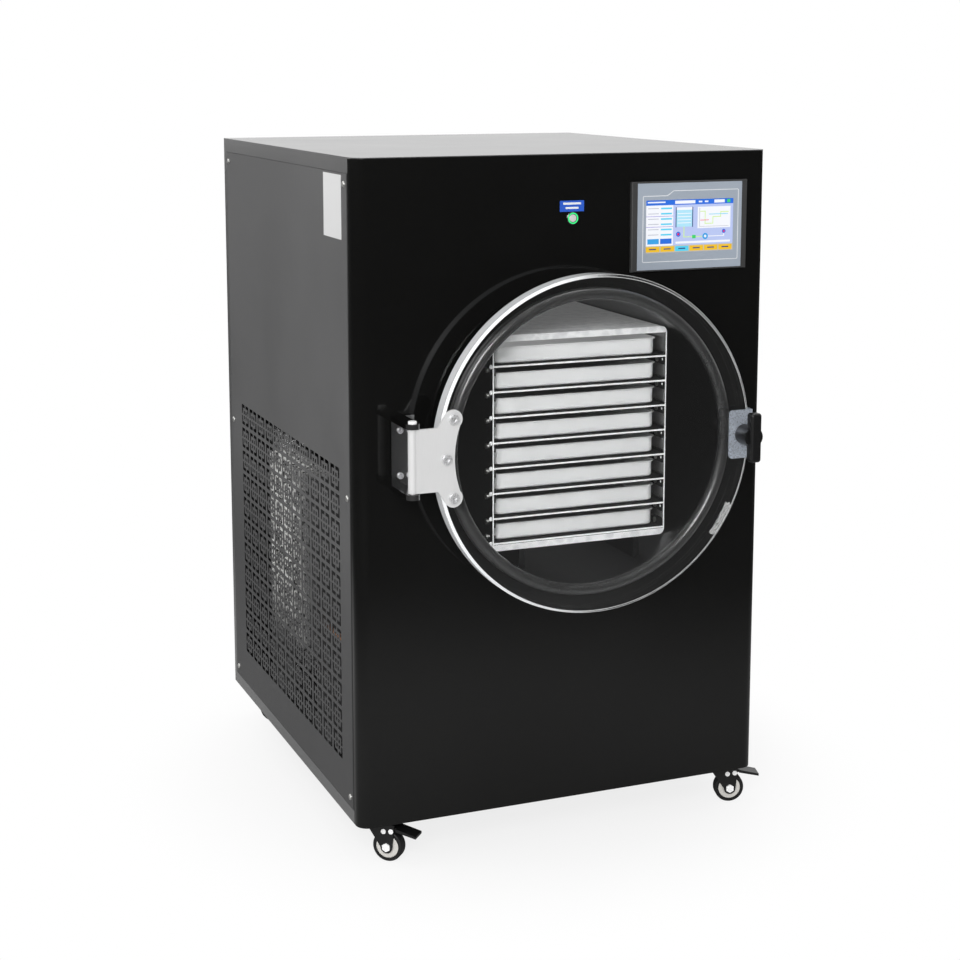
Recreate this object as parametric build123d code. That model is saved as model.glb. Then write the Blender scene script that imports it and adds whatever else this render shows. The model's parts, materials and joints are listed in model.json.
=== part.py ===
from build123d import *
import math
import os

# A cabinet freeze dryer on four braked casters: a vacuum chamber with a clear round door, eight
# trays in a rack, a refrigeration set below it and a touch display above it.
#
# Every piece is drawn in the cabinet's own frame: x runs to the right from the left side, y runs
# back from the front panel's face and z runs up from the floor. The pieces are then moved so that
# the origin lies on the floor under the middle of the whole machine. Lengths are in millimetres.

# Cabinet
cabinet_width = 700.0
cabinet_depth = 760.0
cabinet_height = 1040.0
caster_height = 70.0
corner_radius = 20.0
shell_sheet = 2.0
front_sheet = 3.0
border_front = 26.0
border_rear = 16.0
border_top = 24.0
border_bottom = 21.0
seam = 0.6
seat_width = 34.0
screw_inset = 17.0
panel_screw_radius = 2.0
panel_screw_head = 5.0
panel_screw_length = 9.0
panel_screw_round = 2.0

# Vents: tiles of four square holes each
vent_columns = 11
vent_rows = 11
vent_front = 80.0
vent_rear_margin = 70.0
vent_bottom = 82.5
vent_top_margin = 479.0
vent_bar = 4.0
vent_post_y = 10.0
vent_post_z = 7.5
rear_slots = 9
rear_slot_length = 300.0
rear_slot_height = 10.0
rear_slot_pitch = 24.0
rear_slot_bottom = 150.0

# Base frame: a ring of channel, a deck, corner plates for the casters and two saddles
frame_inset = 4.0
channel_width = 32.0
channel_height = 30.0
channel_wall = 3.0
deck_sheet = 3.0
corner_plate = 84.0
saddle_sheet = 5.0
saddle_half_width = 170.0
saddle_front = 90.0
saddle_rear = 470.0

# Chamber, gasket and insulation
chamber_offset = 21.0
chamber_drop = 446.0
chamber_radius = 225.0
chamber_wall = 3.0
chamber_depth = 560.0
mouth_reach = 33.0
mouth_flange = 6.0
gasket_width = 18.0
gasket_bead = 2.5
coil_tube = 9.6
coil_header = 8.0
coil_turns = 10
coil_front = 60.0
coil_rear_gap = 50.0
insulation_wall = 30.0
insulation_front = 12.0
rail_x = 100.0
rail_width = 10.0
fit = 0.3
hug = 0.2

# Door
door_radius = 266.0
door_thickness = 25.0
door_chamfer = 4.0
door_gap = 45.0

# Hinge
hinge_offset = 305.0
hinge_back = 23.0
pin_radius = 4.0
pin_head_radius = 6.5
pin_head_height = 3.5
pin_head_round = 1.0
running_fit = 0.05
knuckle_radius = 7.0
knuckle_height = 97.0
arm_thickness = 8.0
arm_half_width = 11.0
arm_gap = 1.0
bracket_width = 37.0
bracket_sheet = 5.0
bracket_bolt_inset = 14.0
bracket_bolt_spacing_x = 15.0
bracket_bolt_spacing_z = 70.0
bolt_radius = 3.0
bolt_head_radius = 5.0
bolt_head_height = 3.5
bolt_head_round = 1.2
bolt_length = 12.0
leaf_thickness = 4.0
leaf_neck = 38.0
lug_reach = 63.0
lug_spread = 60.0
lug_radius = 14.5
leaf_waist = 65.0
lug_shoulder_angle = 50.0
leaf_screw_reach = 51.5
leaf_screw_radius = 4.0
leaf_screw_head = 8.0
leaf_screw_head_height = 5.0
leaf_screw_round = 1.5
leaf_screw_depth = 16.0
leaf_socket_radius = 4.0
leaf_socket_depth = 3.0

# Latch
latch_inset = 12.0
latch_plate_sheet = 3.0
latch_plate_width = 38.0
latch_plate_height = 78.0
latch_plate_corner = 6.0
latch_shaft_radius = 6.0
latch_boss_radius = 16.0
latch_boss_height = 22.7
latch_bar_width = 19.0
latch_bar_height = 79.0
latch_bar_thickness = 18.0
latch_bar_round = 5.0
cam_gap = 2.0
cam_thickness = 6.0
cam_width = 12.0
cam_reach = 27.0
keeper_gap = 6.5
keeper_lip = 11.5
keeper_lip_thickness = 6.0
keeper_post = 6.0
keeper_half_height = 12.0
keeper_base_width = 26.0
keeper_base_sheet = 4.0

# Rack, shelves and trays
rack_half_width = 150.0
rack_front = 5.0
rack_rear_gap = 35.0
rack_side_sheet = 3.0
end_plate_thickness = 10.0
end_plate_round = 9.5
tray_count = 8
shelf_pitch = 40.0
shelf_sheet = 3.5
shelf_flange = 12.0
shelf_flange_sheet = 2.0
rack_screw_radius = 2.0
rack_screw_head = 4.0
rack_screw_head_height = 2.5
rack_screw_inset = 22.0
rack_screw_drop = 6.0
tray_setback = 14.0
tray_side_gap = 3.0
tray_rear_gap = 26.0
tray_height = 26.0
tray_wall = 1.2
tray_rim = 3.0
tray_corner = 12.0
tray_bottom_round = 4.0

# Display, switch and labels
display_inset = 142.0
display_drop = 117.0
display_width = 206.0
display_height = 142.0
display_bezel = 6.0
display_body_width = 184.0
display_body_height = 122.0
display_body_depth = 36.0
display_round = 2.0
faceplate_width = 186.0
faceplate_height = 136.5
faceplate_sheet = 1.0
screen_width = 156.0
screen_height = 83.0
screen_sheet = 1.6
switch_spacing = 202.5
switch_drop = 99.4
switch_bezel_radius = 10.0
switch_bezel_height = 2.5
switch_bezel_round = 1.0
switch_end_wall = 3.0
switch_body_radius = 8.0
switch_body_depth = 28.0
button_radius = 6.0
button_height = 3.5
button_round = 0.8
button_stem_radius = 3.0
button_stem_length = 14.0
button_travel = 2.5
button_gap = 0.3
label_width = 41.0
label_height = 17.0
label_rise = 18.7
label_shift = 1.0
label_sheet = 0.4
side_label_front = 58.0
side_label_width = 88.0
side_label_height = 97.5
side_label_drop = 28.0

# Refrigeration set and control box
compressor_offset = 99.0
compressor_y = 290.0
compressor_radius = 80.0
compressor_height = 170.0
compressor_dome = 28.0
terminal_sink = 10.0
terminal_reach = 30.0
terminal_width = 60.0
terminal_rise = 60.0
terminal_height = 60.0
foot_plate_x = 200.0
foot_plate_y = 130.0
foot_plate_sheet = 4.0
mount_radius = 12.0
mount_height = 18.0
mount_inset = 16.0
condenser_gap = 20.0
condenser_depth = 44.0
condenser_front = 280.0
condenser_length = 280.0
condenser_bottom = 250.0
condenser_rise = 310.0
condenser_end_sheet = 3.0
fin_count = 24
fin_sheet = 1.2
fin_tubes = 4
fin_tube_radius = 5.0
fan_radius = 105.0
fan_hub_radius = 28.0
fan_blades = 5
fan_blade_width = 30.0
fan_blade_root = 5.0
fan_blade_sheet = 2.5
fan_blade_pitch = 28.0
fan_hub_length = 22.0
fan_gap = 16.0
fan_shaft_radius = 4.0
fan_shaft_length = 24.0
motor_radius = 36.0
motor_length = 42.0
basket_arm = 8.0
basket_ring = 118.0
pipe_radius = 5.0
pipe_bend = 22.0
pipe_rise = 60.0
pipe_gap = 60.0
pipe_entry = 60.0
liquid_entry = 30.0
liquid_gap = 50.0
liquid_offset = 40.0
liquid_lift = 2.0
control_box_width = 230.0
control_box_depth = 200.0
control_box_height = 140.0
control_box_front = 70.0
control_box_shift = 30.0

# Services at the back
port_offset = 100.0
port_rise = 100.0
port_bore = 12.0
port_wall = 2.0
port_reach = 25.0
port_flange_radius = 20.0
port_flange_thickness = 4.0
inlet_x = 120.0
inlet_z = 190.0
inlet_width = 48.0
inlet_height = 28.0
inlet_flange = 3.0
inlet_ear = 9.0
inlet_lip = 2.0
inlet_socket_width = 24.0
inlet_socket_height = 17.0
inlet_socket_depth = 18.0
inlet_body_depth = 26.0
blade_width = 2.0
blade_height = 4.0
blade_length = 11.0
blade_spacing = 7.0
blade_step = 2.0

# Casters
caster_inset = 44.0
caster_headings = (-42.0, -16.0, -36.0, -20.0)
caster_plate_size = 62.0
caster_plate_sheet = 3.0
caster_plate_round = 5.0
caster_bolt_spacing = 46.0
caster_bolt_radius = 3.0
caster_bolt_head = 5.0
caster_bolt_head_height = 3.5
kingpin_radius = 4.0
race_radius = 20.0
race_height = 4.0
wheel_radius = 25.0
wheel_width = 18.0
wheel_round = 3.0
hub_radius = 7.0
hub_proud = 0.6
rim_radius = 19.0
rim_recess = 1.5
axle_radius = 4.0
axle_head_radius = 6.0
axle_head_height = 2.0
trail = 20.0
leg_sheet = 2.5
leg_gap = 1.2
leg_foot_radius = 10.0
bridge_sheet = 3.0
bridge_back = 16.0
leg_margin = 2.0
brake_slot_back = 3.0
brake_slot_front = 10.0
brake_pivot_x = 28.0
brake_pivot_z = 54.0
brake_pin_radius = 2.5
brake_boss_radius = 3.6
pedal_start = 36.0
pedal_reach = 70.0
pedal_half_width = 13.0
pedal_thickness = 4.0
pedal_swell = 1.0
pedal_slope = 7.0

# Places that follow from the sizes above
cabinet_top = caster_height + cabinet_height
chamber_x = cabinet_width / 2 + chamber_offset
chamber_z = cabinet_top - chamber_drop
hinge_x = chamber_x - hinge_offset
display_x = cabinet_width - display_inset
display_z = cabinet_top - display_drop
switch_x = display_x - switch_spacing
switch_z = cabinet_top - switch_drop
compressor_x = chamber_x + compressor_offset
port_x = chamber_x + port_offset
port_z = chamber_z + port_rise
side_window_y = (border_front + seam, cabinet_depth - border_rear)
side_window_z = (caster_height + border_bottom, cabinet_top - border_top)
vent_length = side_window_y[1] - vent_rear_margin - vent_front
vent_pitch_y = vent_length / vent_columns
vent_pitch_z = (cabinet_height - vent_top_margin - vent_bottom) / vent_rows
vent_hole_y = (vent_pitch_y - vent_bar - vent_post_y) / 2
vent_hole_z = (vent_pitch_z - vent_bar - vent_post_z) / 2
rear_window_x = (border_rear, cabinet_width - border_rear)
deck_bottom = caster_height + channel_height
deck_top = deck_bottom + deck_sheet
door_back = -door_gap
door_front = door_back - door_thickness
gasket_front = door_back + fit
hinge_y = door_back - hinge_back
leaf_front = door_front - leaf_thickness
arm_start = knuckle_height / 2 + arm_gap
arm_end = arm_start + arm_thickness
chamber_outer = chamber_radius + chamber_wall
coil_radius = chamber_outer + hug + coil_tube / 2
coil_back = chamber_depth - coil_rear_gap
coil_pitch = (coil_back - coil_front) / (coil_turns - 1)
insulation_inner = chamber_outer + coil_tube + 2 * hug
insulation_outer = insulation_inner + insulation_wall
insulation_back = chamber_depth + chamber_wall + insulation_wall
latch_x = chamber_x + door_radius - latch_inset
latch_plate_front = door_front - latch_plate_sheet
latch_boss_front = latch_plate_front - fit - latch_boss_height
cam_front = door_back + cam_gap
cam_back = cam_front + cam_thickness
keeper_x = chamber_x + door_radius + keeper_gap
rack_half_height = tray_count * shelf_pitch / 2
rack_span = (rack_front, chamber_depth - rack_rear_gap)
rack_floor = chamber_z - rack_half_height
rack_inner = rack_half_width - rack_side_sheet
tray_front = rack_front + tray_setback
tray_back = rack_span[1] - tray_rear_gap
tray_half_width = rack_inner - shelf_flange_sheet - tray_side_gap
condenser_x = (condenser_gap, condenser_gap + condenser_depth)
fan_y = condenser_front + condenser_length / 2
fan_z = condenser_bottom + condenser_rise / 2
fan_x = condenser_x[1] + fan_gap
motor_x = fan_x + fan_hub_length + fit
foot_plate_bottom = deck_top + mount_height
plate_bottom = caster_height - caster_plate_sheet
leg_inner = wheel_width / 2 + leg_gap
bridge_top = plate_bottom - fit - race_height
caster_places = [
    (x, y)
    for y in (caster_inset, cabinet_depth - caster_inset)
    for x in (caster_inset, cabinet_width - caster_inset)
]


def block(x_span, y_span, z_span):
    """A box between two limits along each axis."""
    spans = (x_span, y_span, z_span)
    middle = [(low + high) / 2 for low, high in spans]
    size = [high - low for low, high in spans]
    return Pos(*middle) * Box(*size)


def rod_x(y, z, radius, span):
    """A cylinder along x between two limits."""
    return Pos(sum(span) / 2, y, z) * Rot(0, 90, 0) * Cylinder(radius, span[1] - span[0])


def rod_y(x, z, radius, span):
    """A cylinder along y between two limits."""
    return Pos(x, sum(span) / 2, z) * Rot(90, 0, 0) * Cylinder(radius, span[1] - span[0])


def rod_z(x, y, radius, span):
    """A cylinder along z between two limits."""
    return Pos(x, y, sum(span) / 2) * Cylinder(radius, span[1] - span[0])


def ring_y(x, z, inner, outer, span):
    """A tube along y between two limits."""
    return rod_y(x, z, outer, span) - rod_y(x, z, inner, span)


def around(middle, half):
    """The limits that lie half a size on each side of a middle."""
    return (middle - half, middle + half)


def mirrored(shape):
    """The same piece on the other side of the cabinet."""
    return mirror(shape, about=Plane.YZ.offset(cabinet_width / 2))


def cabinet_block(inset, z_span):
    """The cabinet's plan, inset on all sides, with its two front corners rounded."""
    plan = block((inset, cabinet_width - inset), (inset, cabinet_depth - inset), z_span)
    front_edges = plan.edges().filter_by(Axis.Z).group_by(Axis.Y)[0]
    return fillet(front_edges, corner_radius - inset)


def side_screw_places():
    """The y and z of the six screws that hold a side panel."""
    low, high = side_window_z
    heights = (low + screw_inset, (low + high) / 2, high - screw_inset)
    depths = (side_window_y[0] + screw_inset, side_window_y[1] - screw_inset)
    return [(y, z) for y in depths for z in heights]


def rear_screw_places():
    """The x and z of the six screws that hold the rear panel."""
    low, high = side_window_z
    heights = (low + screw_inset, (low + high) / 2, high - screw_inset)
    across = (rear_window_x[0] + screw_inset, rear_window_x[1] - screw_inset)
    return [(x, z) for x in across for z in heights]


def cabinet_shell():
    """The welded sheet body: a top, two side frames and a rear frame that the panels lie in."""
    double = 2 * shell_sheet
    wall_z = (caster_height, cabinet_top - shell_sheet)
    seat_y = (side_window_y[0] + seat_width, side_window_y[1] - seat_width)
    seat_x = (rear_window_x[0] + seat_width, rear_window_x[1] - seat_width)
    seat_z = (side_window_z[0] + seat_width, side_window_z[1] - seat_width)
    side = block((0, double), (side_window_y[0], cabinet_depth), wall_z)
    side -= block((0, shell_sheet), side_window_y, side_window_z)
    side -= block((0, double), seat_y, seat_z)
    for y, z in side_screw_places():
        side -= rod_x(y, z, panel_screw_radius, (0, double))
    back = block((0, cabinet_width), (cabinet_depth - double, cabinet_depth), wall_z)
    back -= block(rear_window_x, (cabinet_depth - shell_sheet, cabinet_depth), side_window_z)
    back -= block(seat_x, (cabinet_depth - double, cabinet_depth), seat_z)
    for x, z in rear_screw_places():
        back -= rod_y(x, z, panel_screw_radius, (cabinet_depth - double, cabinet_depth))
    top = cabinet_block(0, (cabinet_top - shell_sheet, cabinet_top))
    return top + side + mirrored(side) + back


def square_wire(y_span, z_span):
    """A rectangular outline on the plane x = 0."""
    (y0, y1), (z0, z1) = y_span, z_span
    return Wire.make_polygon([(0, y0, z0), (0, y1, z0), (0, y1, z1), (0, y0, z1)], close=True)


def side_panel():
    """A flush panel with a vent of square holes in its lower half."""
    outline = square_wire(
        (side_window_y[0] + seam, side_window_y[1] - seam),
        (side_window_z[0] + seam, side_window_z[1] - seam),
    )
    holes = []
    reach_y = (vent_bar + vent_hole_y) / 2
    reach_z = (vent_bar + vent_hole_z) / 2
    for column in range(vent_columns):
        for row in range(vent_rows):
            y = vent_front + (column + 0.5) * vent_pitch_y
            z = caster_height + vent_bottom + (row + 0.5) * vent_pitch_z
            for side_y in (y - reach_y, y + reach_y):
                for side_z in (z - reach_z, z + reach_z):
                    span_y = around(side_y, vent_hole_y / 2)
                    span_z = around(side_z, vent_hole_z / 2)
                    holes.append(square_wire(span_y, span_z))
    for y, z in side_screw_places():
        plane = Plane(origin=(0, y, z), z_dir=(1, 0, 0))
        holes.append(Wire.make_circle(panel_screw_radius, plane))
    return extrude(Face(outline, holes), amount=shell_sheet, dir=(1, 0, 0))


def rear_panel():
    """A flush panel with air slots and holes for the vacuum port and the power inlet."""
    y_span = (cabinet_depth - shell_sheet, cabinet_depth)
    x_span = (rear_window_x[0] + seam, rear_window_x[1] - seam)
    z_span = (side_window_z[0] + seam, side_window_z[1] - seam)
    panel = block(x_span, y_span, z_span)
    middle = cabinet_width / 2
    slots = []
    for index in range(rear_slots):
        z = caster_height + rear_slot_bottom + index * rear_slot_pitch
        slot_z = around(z, rear_slot_height / 2)
        slots.append(block(around(middle, rear_slot_length / 2), y_span, slot_z))
    for x, z in rear_screw_places():
        slots.append(rod_y(x, z, panel_screw_radius, y_span))
    slots.append(rod_y(port_x, port_z, port_bore + port_wall + fit, y_span))
    slots.append(inlet_body(y_span))
    return panel - slots


def panel_screws():
    """Button-head screws: six in each side panel and six in the rear panel."""
    screws = []
    head = panel_screw_head / 2
    for y, z in side_screw_places():
        shank = rod_x(y, z, panel_screw_radius, (0, panel_screw_length))
        cap = rod_x(y, z, panel_screw_head, (-head, 0))
        screw = fillet(cap.edges().group_by(Axis.X)[0], panel_screw_round) + shank
        screws += [screw, mirrored(screw)]
    for x, z in rear_screw_places():
        shank = rod_y(x, z, panel_screw_radius, (cabinet_depth - panel_screw_length, cabinet_depth))
        cap = rod_y(x, z, panel_screw_head, (cabinet_depth, cabinet_depth + head))
        screws.append(fillet(cap.edges().group_by(Axis.Y)[-1], panel_screw_round) + shank)
    return screws


def bracket_bolt_places():
    """The x and z of the four bolts of the hinge bracket."""
    first = hinge_x - arm_half_width + bracket_bolt_inset
    across = (first, first + bracket_bolt_spacing_x)
    heights = around(chamber_z, bracket_bolt_spacing_z / 2)
    return [(x, z) for x in across for z in heights]


def front_panel():
    """The glossy front, folded round both front corners, with the chamber, display and switch holes."""
    z_span = (caster_height, cabinet_top - shell_sheet)
    panel = cabinet_block(0, z_span) - cabinet_block(front_sheet, z_span)
    panel -= block((0, cabinet_width), (border_front, cabinet_depth), z_span)
    through = (0, front_sheet)
    body_x = around(display_x, display_body_width / 2 + fit)
    body_z = around(display_z, display_body_height / 2 + fit)
    panel -= rod_y(chamber_x, chamber_z, chamber_outer + fit, through)
    panel -= block(body_x, through, body_z)
    panel -= rod_y(switch_x, switch_z, switch_body_radius + hug, through)
    for x, z in bracket_bolt_places():
        panel -= rod_y(x, z, bolt_radius, through)
    return panel


def saddle(y_front):
    """A plate on the deck, cut round to carry the insulated chamber."""
    y_span = (y_front, y_front + saddle_sheet)
    across = around(chamber_x, saddle_half_width)
    plate = block(across, y_span, (deck_bottom, chamber_z - insulation_outer / 2))
    return plate - rod_y(chamber_x, chamber_z, insulation_outer + hug, y_span)


def base_frame():
    """The welded base: channel ring, deck, corner plates under it and the chamber's saddles."""
    z_span = (caster_height, deck_bottom)
    plate_z = (caster_height, caster_height + channel_wall)
    web_z = (caster_height + channel_wall, deck_bottom - channel_wall)
    inner = frame_inset + channel_width
    inside_x = (inner, cabinet_width - inner)
    inside_y = (inner, cabinet_depth - inner)
    frame = cabinet_block(frame_inset, (caster_height, deck_top))
    frame -= block(inside_x, inside_y, z_span)
    frame -= cabinet_block(frame_inset + channel_wall, web_z)
    for x, y in caster_places:
        near_x = inner if x < cabinet_width / 2 else cabinet_width - corner_plate
        near_y = inner if y < cabinet_depth / 2 else cabinet_depth - corner_plate
        reach = corner_plate - inner
        frame += block((near_x, near_x + reach), (near_y, near_y + reach), plate_z)
    for x, y in caster_places:
        frame -= rod_z(x, y, kingpin_radius + fit, plate_z)
        for bolt_x, bolt_y in caster_bolt_places(x, y):
            frame -= rod_z(bolt_x, bolt_y, caster_bolt_radius, plate_z)
    return frame + saddle(saddle_front) + saddle(saddle_rear)


def chamber():
    """The stainless vacuum chamber: a tube with a mouth flange, a back plate and two rack rails."""
    back = chamber_depth + chamber_wall
    vessel = rod_y(chamber_x, chamber_z, chamber_outer, (-mouth_reach, back))
    flange_span = (-mouth_reach, -mouth_reach + mouth_flange)
    vessel += rod_y(chamber_x, chamber_z, chamber_radius + gasket_width, flange_span)
    vessel -= rod_y(chamber_x, chamber_z, chamber_radius, (-mouth_reach, chamber_depth))
    vessel -= rod_y(port_x, port_z, port_bore + port_wall, (chamber_depth, back))
    rack_bottom = rack_floor - end_plate_thickness
    for x in (chamber_x - rail_x, chamber_x + rail_x):
        rail = block(around(x, rail_width / 2), rack_span, (chamber_z - chamber_outer, rack_bottom))
        vessel += rail & rod_y(chamber_x, chamber_z, chamber_radius + chamber_wall / 2, rack_span)
    return vessel


def door_gasket():
    """The black rubber ring between the mouth flange and the door."""
    outer = chamber_radius + gasket_width
    ring = ring_y(chamber_x, chamber_z, chamber_radius, outer, (gasket_front, -mouth_reach))
    return fillet(ring.edges().group_by(Axis.Y)[0], gasket_bead)


def cooling_coil():
    """The evaporator tube round the chamber: its turns and the header that joins them."""
    turns = []
    for index in range(coil_turns):
        y = coil_front + index * coil_pitch
        turn = Pos(chamber_x, y, chamber_z) * Rot(90, 0, 0) * Torus(coil_radius, coil_tube / 2)
        turns.append(turn)
    header_span = (coil_front - coil_tube, coil_back + coil_tube)
    header = rod_y(chamber_x, chamber_z - coil_radius, coil_header / 2, header_span)
    return header + turns


def chamber_insulation():
    """The rigid foam jacket round the chamber and its back."""
    foam = rod_y(chamber_x, chamber_z, insulation_outer, (insulation_front, insulation_back))
    hollow_span = (insulation_front, chamber_depth + chamber_wall)
    foam -= rod_y(chamber_x, chamber_z, insulation_inner, hollow_span)
    port_span = (chamber_depth, insulation_back)
    return foam - rod_y(port_x, port_z, port_bore + port_wall + fit, port_span)


def shelf_height(index):
    """The underside of a shelf, counted from the lowest."""
    return rack_floor + index * shelf_pitch


def rack_screw_heights():
    """The height of each shelf's screws: above the lowest shelf, and below the others."""
    heights = [shelf_height(0) + shelf_sheet + rack_screw_drop]
    heights += [shelf_height(index) - rack_screw_drop for index in range(1, tray_count)]
    return heights


def rack_screw_depths():
    """The two places along the rack where its screws lie."""
    return (rack_span[0] + rack_screw_inset, rack_span[1] - rack_screw_inset)


def rack_sides():
    """The two side plates of the rack, with a row of screw holes at each end."""
    left_span = (chamber_x - rack_half_width, chamber_x - rack_inner)
    side_z = (rack_floor, rack_floor + 2 * rack_half_height)
    plate = block(left_span, rack_span, side_z)
    holes = [
        rod_x(y, z, rack_screw_radius, left_span)
        for y in rack_screw_depths()
        for z in rack_screw_heights()
    ]
    left = plate - holes
    return [left, mirror(left, about=Plane.YZ.offset(chamber_x))]


def shelves():
    """Eight shelf plates with side flanges: up on the lowest, and down on the others."""
    made = []
    for index in range(tray_count):
        bottom = shelf_height(index)
        top = bottom + shelf_sheet
        shelf = block(around(chamber_x, rack_inner), rack_span, (bottom, top))
        flange_z = (top, top + shelf_flange) if index == 0 else (bottom - shelf_flange, bottom)
        screw_z = rack_screw_heights()[index]
        for low in (chamber_x - rack_inner, chamber_x + rack_inner - shelf_flange_sheet):
            flange_x = (low, low + shelf_flange_sheet)
            flange = block(flange_x, rack_span, flange_z)
            holes = [rod_x(y, screw_z, rack_screw_radius, flange_x) for y in rack_screw_depths()]
            shelf += flange - holes
        made.append(shelf)
    return made


def rack_end_plates():
    """The two foil-wrapped plates that close the rack at its top and bottom."""
    plates = []
    across = around(chamber_x, rack_half_width)
    for low, corner in ((rack_floor - end_plate_thickness, 0), (rack_floor + 2 * rack_half_height, -1)):
        plate = block(across, rack_span, (low, low + end_plate_thickness))
        edges = plate.edges().filter_by(Axis.Y).group_by(Axis.Z)[corner]
        plates.append(fillet(edges, end_plate_round))
    return plates


def rack_screws():
    """The small screws, with their nuts, that hold the shelf flanges to the side plates."""
    screws = []
    outside = chamber_x - rack_half_width
    inside = chamber_x - rack_inner + shelf_flange_sheet
    for y in rack_screw_depths():
        for z in rack_screw_heights():
            shank = rod_x(y, z, rack_screw_radius, (outside, inside))
            head_span = (outside - rack_screw_head_height, outside)
            nut_span = (inside, inside + tray_side_gap / 2)
            screw = shank + rod_x(y, z, rack_screw_head, head_span)
            screw += rod_x(y, z, rack_screw_head, nut_span)
            screws += [screw, mirror(screw, about=Plane.YZ.offset(chamber_x))]
    return screws


def tray(index):
    """An open aluminium tray with rounded corners and a thin rim, on its shelf."""
    bottom = shelf_height(index) + shelf_sheet
    half = tray_half_width - tray_rim
    y_span = (tray_front + tray_rim, tray_back - tray_rim)
    z_span = (bottom, bottom + tray_height)
    body = block(around(chamber_x, half), y_span, z_span)
    body = fillet(body.edges().filter_by(Axis.Z), tray_corner)
    body = fillet(body.edges().group_by(Axis.Z)[0], tray_bottom_round)
    wall_x = around(chamber_x, half - tray_wall)
    hollow_y = (y_span[0] + tray_wall, y_span[1] - tray_wall)
    hollow = block(wall_x, hollow_y, (bottom + tray_wall, z_span[1]))
    hollow = fillet(hollow.edges().filter_by(Axis.Z), tray_corner - tray_wall)
    hollow = fillet(hollow.edges().group_by(Axis.Z)[0], tray_bottom_round - tray_wall)
    rim = block(
        around(chamber_x, tray_half_width),
        (tray_front, tray_back),
        (z_span[1] - tray_wall, z_span[1]),
    )
    rim = fillet(rim.edges().filter_by(Axis.Z), tray_corner + tray_rim)
    return body + rim - hollow


def door():
    """The thick clear disc that closes the chamber, with holes for its fittings."""
    disc = rod_y(chamber_x, chamber_z, door_radius, (door_front, door_back))
    disc = chamfer(disc.edges().group_by(Axis.Y)[0], door_chamfer)
    screw_span = (door_front, door_front + leaf_screw_depth)
    for x, z in leaf_screw_places():
        disc -= rod_y(x, z, leaf_screw_radius, screw_span)
    shaft_hole = latch_shaft_radius + running_fit
    return disc - rod_y(latch_x, chamber_z, shaft_hole, (door_front, door_back))


def leaf_screw_places():
    """The x and z of the three screws of the hinge leaf."""
    return [
        (hinge_x + lug_reach, chamber_z - lug_spread),
        (hinge_x + lug_reach, chamber_z + lug_spread),
        (hinge_x + leaf_screw_reach, chamber_z),
    ]


def hinge_leaf():
    """The polished leaf on the door: a knuckle, a straight neck and two lugs like an axe head."""
    half = knuckle_height / 2
    tip = lug_reach + lug_radius
    turn = math.radians(lug_shoulder_angle)
    shoulder = lug_reach - lug_radius * math.sin(turn)
    shoulder_z = lug_spread + lug_radius * math.cos(turn)
    upper = [(0, half), (leaf_neck, half), (shoulder, shoulder_z), (tip, lug_spread)]
    lower = [(x, -z) for x, z in reversed(upper)]
    rim = Polyline(*lower, *upper)
    waist = ThreePointArc((tip, lug_spread), (leaf_waist, 0), (tip, -lug_spread))
    outline = make_face(rim + waist)
    for z in (-lug_spread, lug_spread):
        outline += Pos(lug_reach, z) * Circle(lug_radius)
    plate = extrude(Plane.XZ * outline, leaf_thickness)
    leaf = Pos(hinge_x, door_front, chamber_z) * plate
    knuckle_span = around(chamber_z, half)
    leaf += rod_z(hinge_x, hinge_y, knuckle_radius, knuckle_span)
    leaf -= rod_z(hinge_x, hinge_y, pin_radius + running_fit, knuckle_span)
    for x, z in leaf_screw_places():
        leaf -= rod_y(x, z, leaf_screw_radius, (leaf_front, door_front))
    return leaf


def leaf_screws():
    """Three cap screws with hexagonal sockets that hold the leaf to the door."""
    screws = []
    for x, z in leaf_screw_places():
        head_span = (leaf_front - leaf_screw_head_height, leaf_front)
        head = rod_y(x, z, leaf_screw_head, head_span)
        head = fillet(head.edges().group_by(Axis.Y)[0], leaf_screw_round)
        socket = Pos(x, head_span[0], z) * (Plane.XZ * RegularPolygon(leaf_socket_radius, 6))
        screw = head + rod_y(x, z, leaf_screw_radius, (leaf_front, door_front + leaf_screw_depth))
        screws.append(screw - extrude(socket, -leaf_socket_depth))
    return screws


def hinge_bracket():
    """The bracket on the front panel: a base plate and two arms that hold the pin."""
    left = hinge_x - arm_half_width
    base_z = around(chamber_z, arm_end)
    bracket = block((left, left + bracket_width), (-bracket_sheet, 0), base_z)
    for low in (chamber_z + arm_start, chamber_z - arm_end):
        arm_z = (low, low + arm_thickness)
        arm = block(around(hinge_x, arm_half_width), (hinge_y, 0), arm_z)
        bracket += arm + rod_z(hinge_x, hinge_y, arm_half_width, arm_z)
    bracket -= rod_z(hinge_x, hinge_y, pin_radius, base_z)
    for x, z in bracket_bolt_places():
        bracket -= rod_y(x, z, bolt_radius, (-bracket_sheet, 0))
    return bracket


def hinge_bolts():
    """The four bolts that hold the hinge bracket to the front panel."""
    bolts = []
    for x, z in bracket_bolt_places():
        shank = rod_y(x, z, bolt_radius, (-bracket_sheet, bolt_length))
        head_span = (-bracket_sheet - bolt_head_height, -bracket_sheet)
        head = rod_y(x, z, bolt_head_radius, head_span)
        bolts.append(fillet(head.edges().group_by(Axis.Y)[0], bolt_head_round) + shank)
    return bolts


def hinge_pin():
    """The pin that the door turns on, with a flat head on top."""
    top = chamber_z + arm_end
    pin = rod_z(hinge_x, hinge_y, pin_radius, (chamber_z - arm_end, top))
    head = rod_z(hinge_x, hinge_y, pin_head_radius, (top, top + pin_head_height))
    return pin + fillet(head.edges().group_by(Axis.Z)[-1], pin_head_round)


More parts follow.
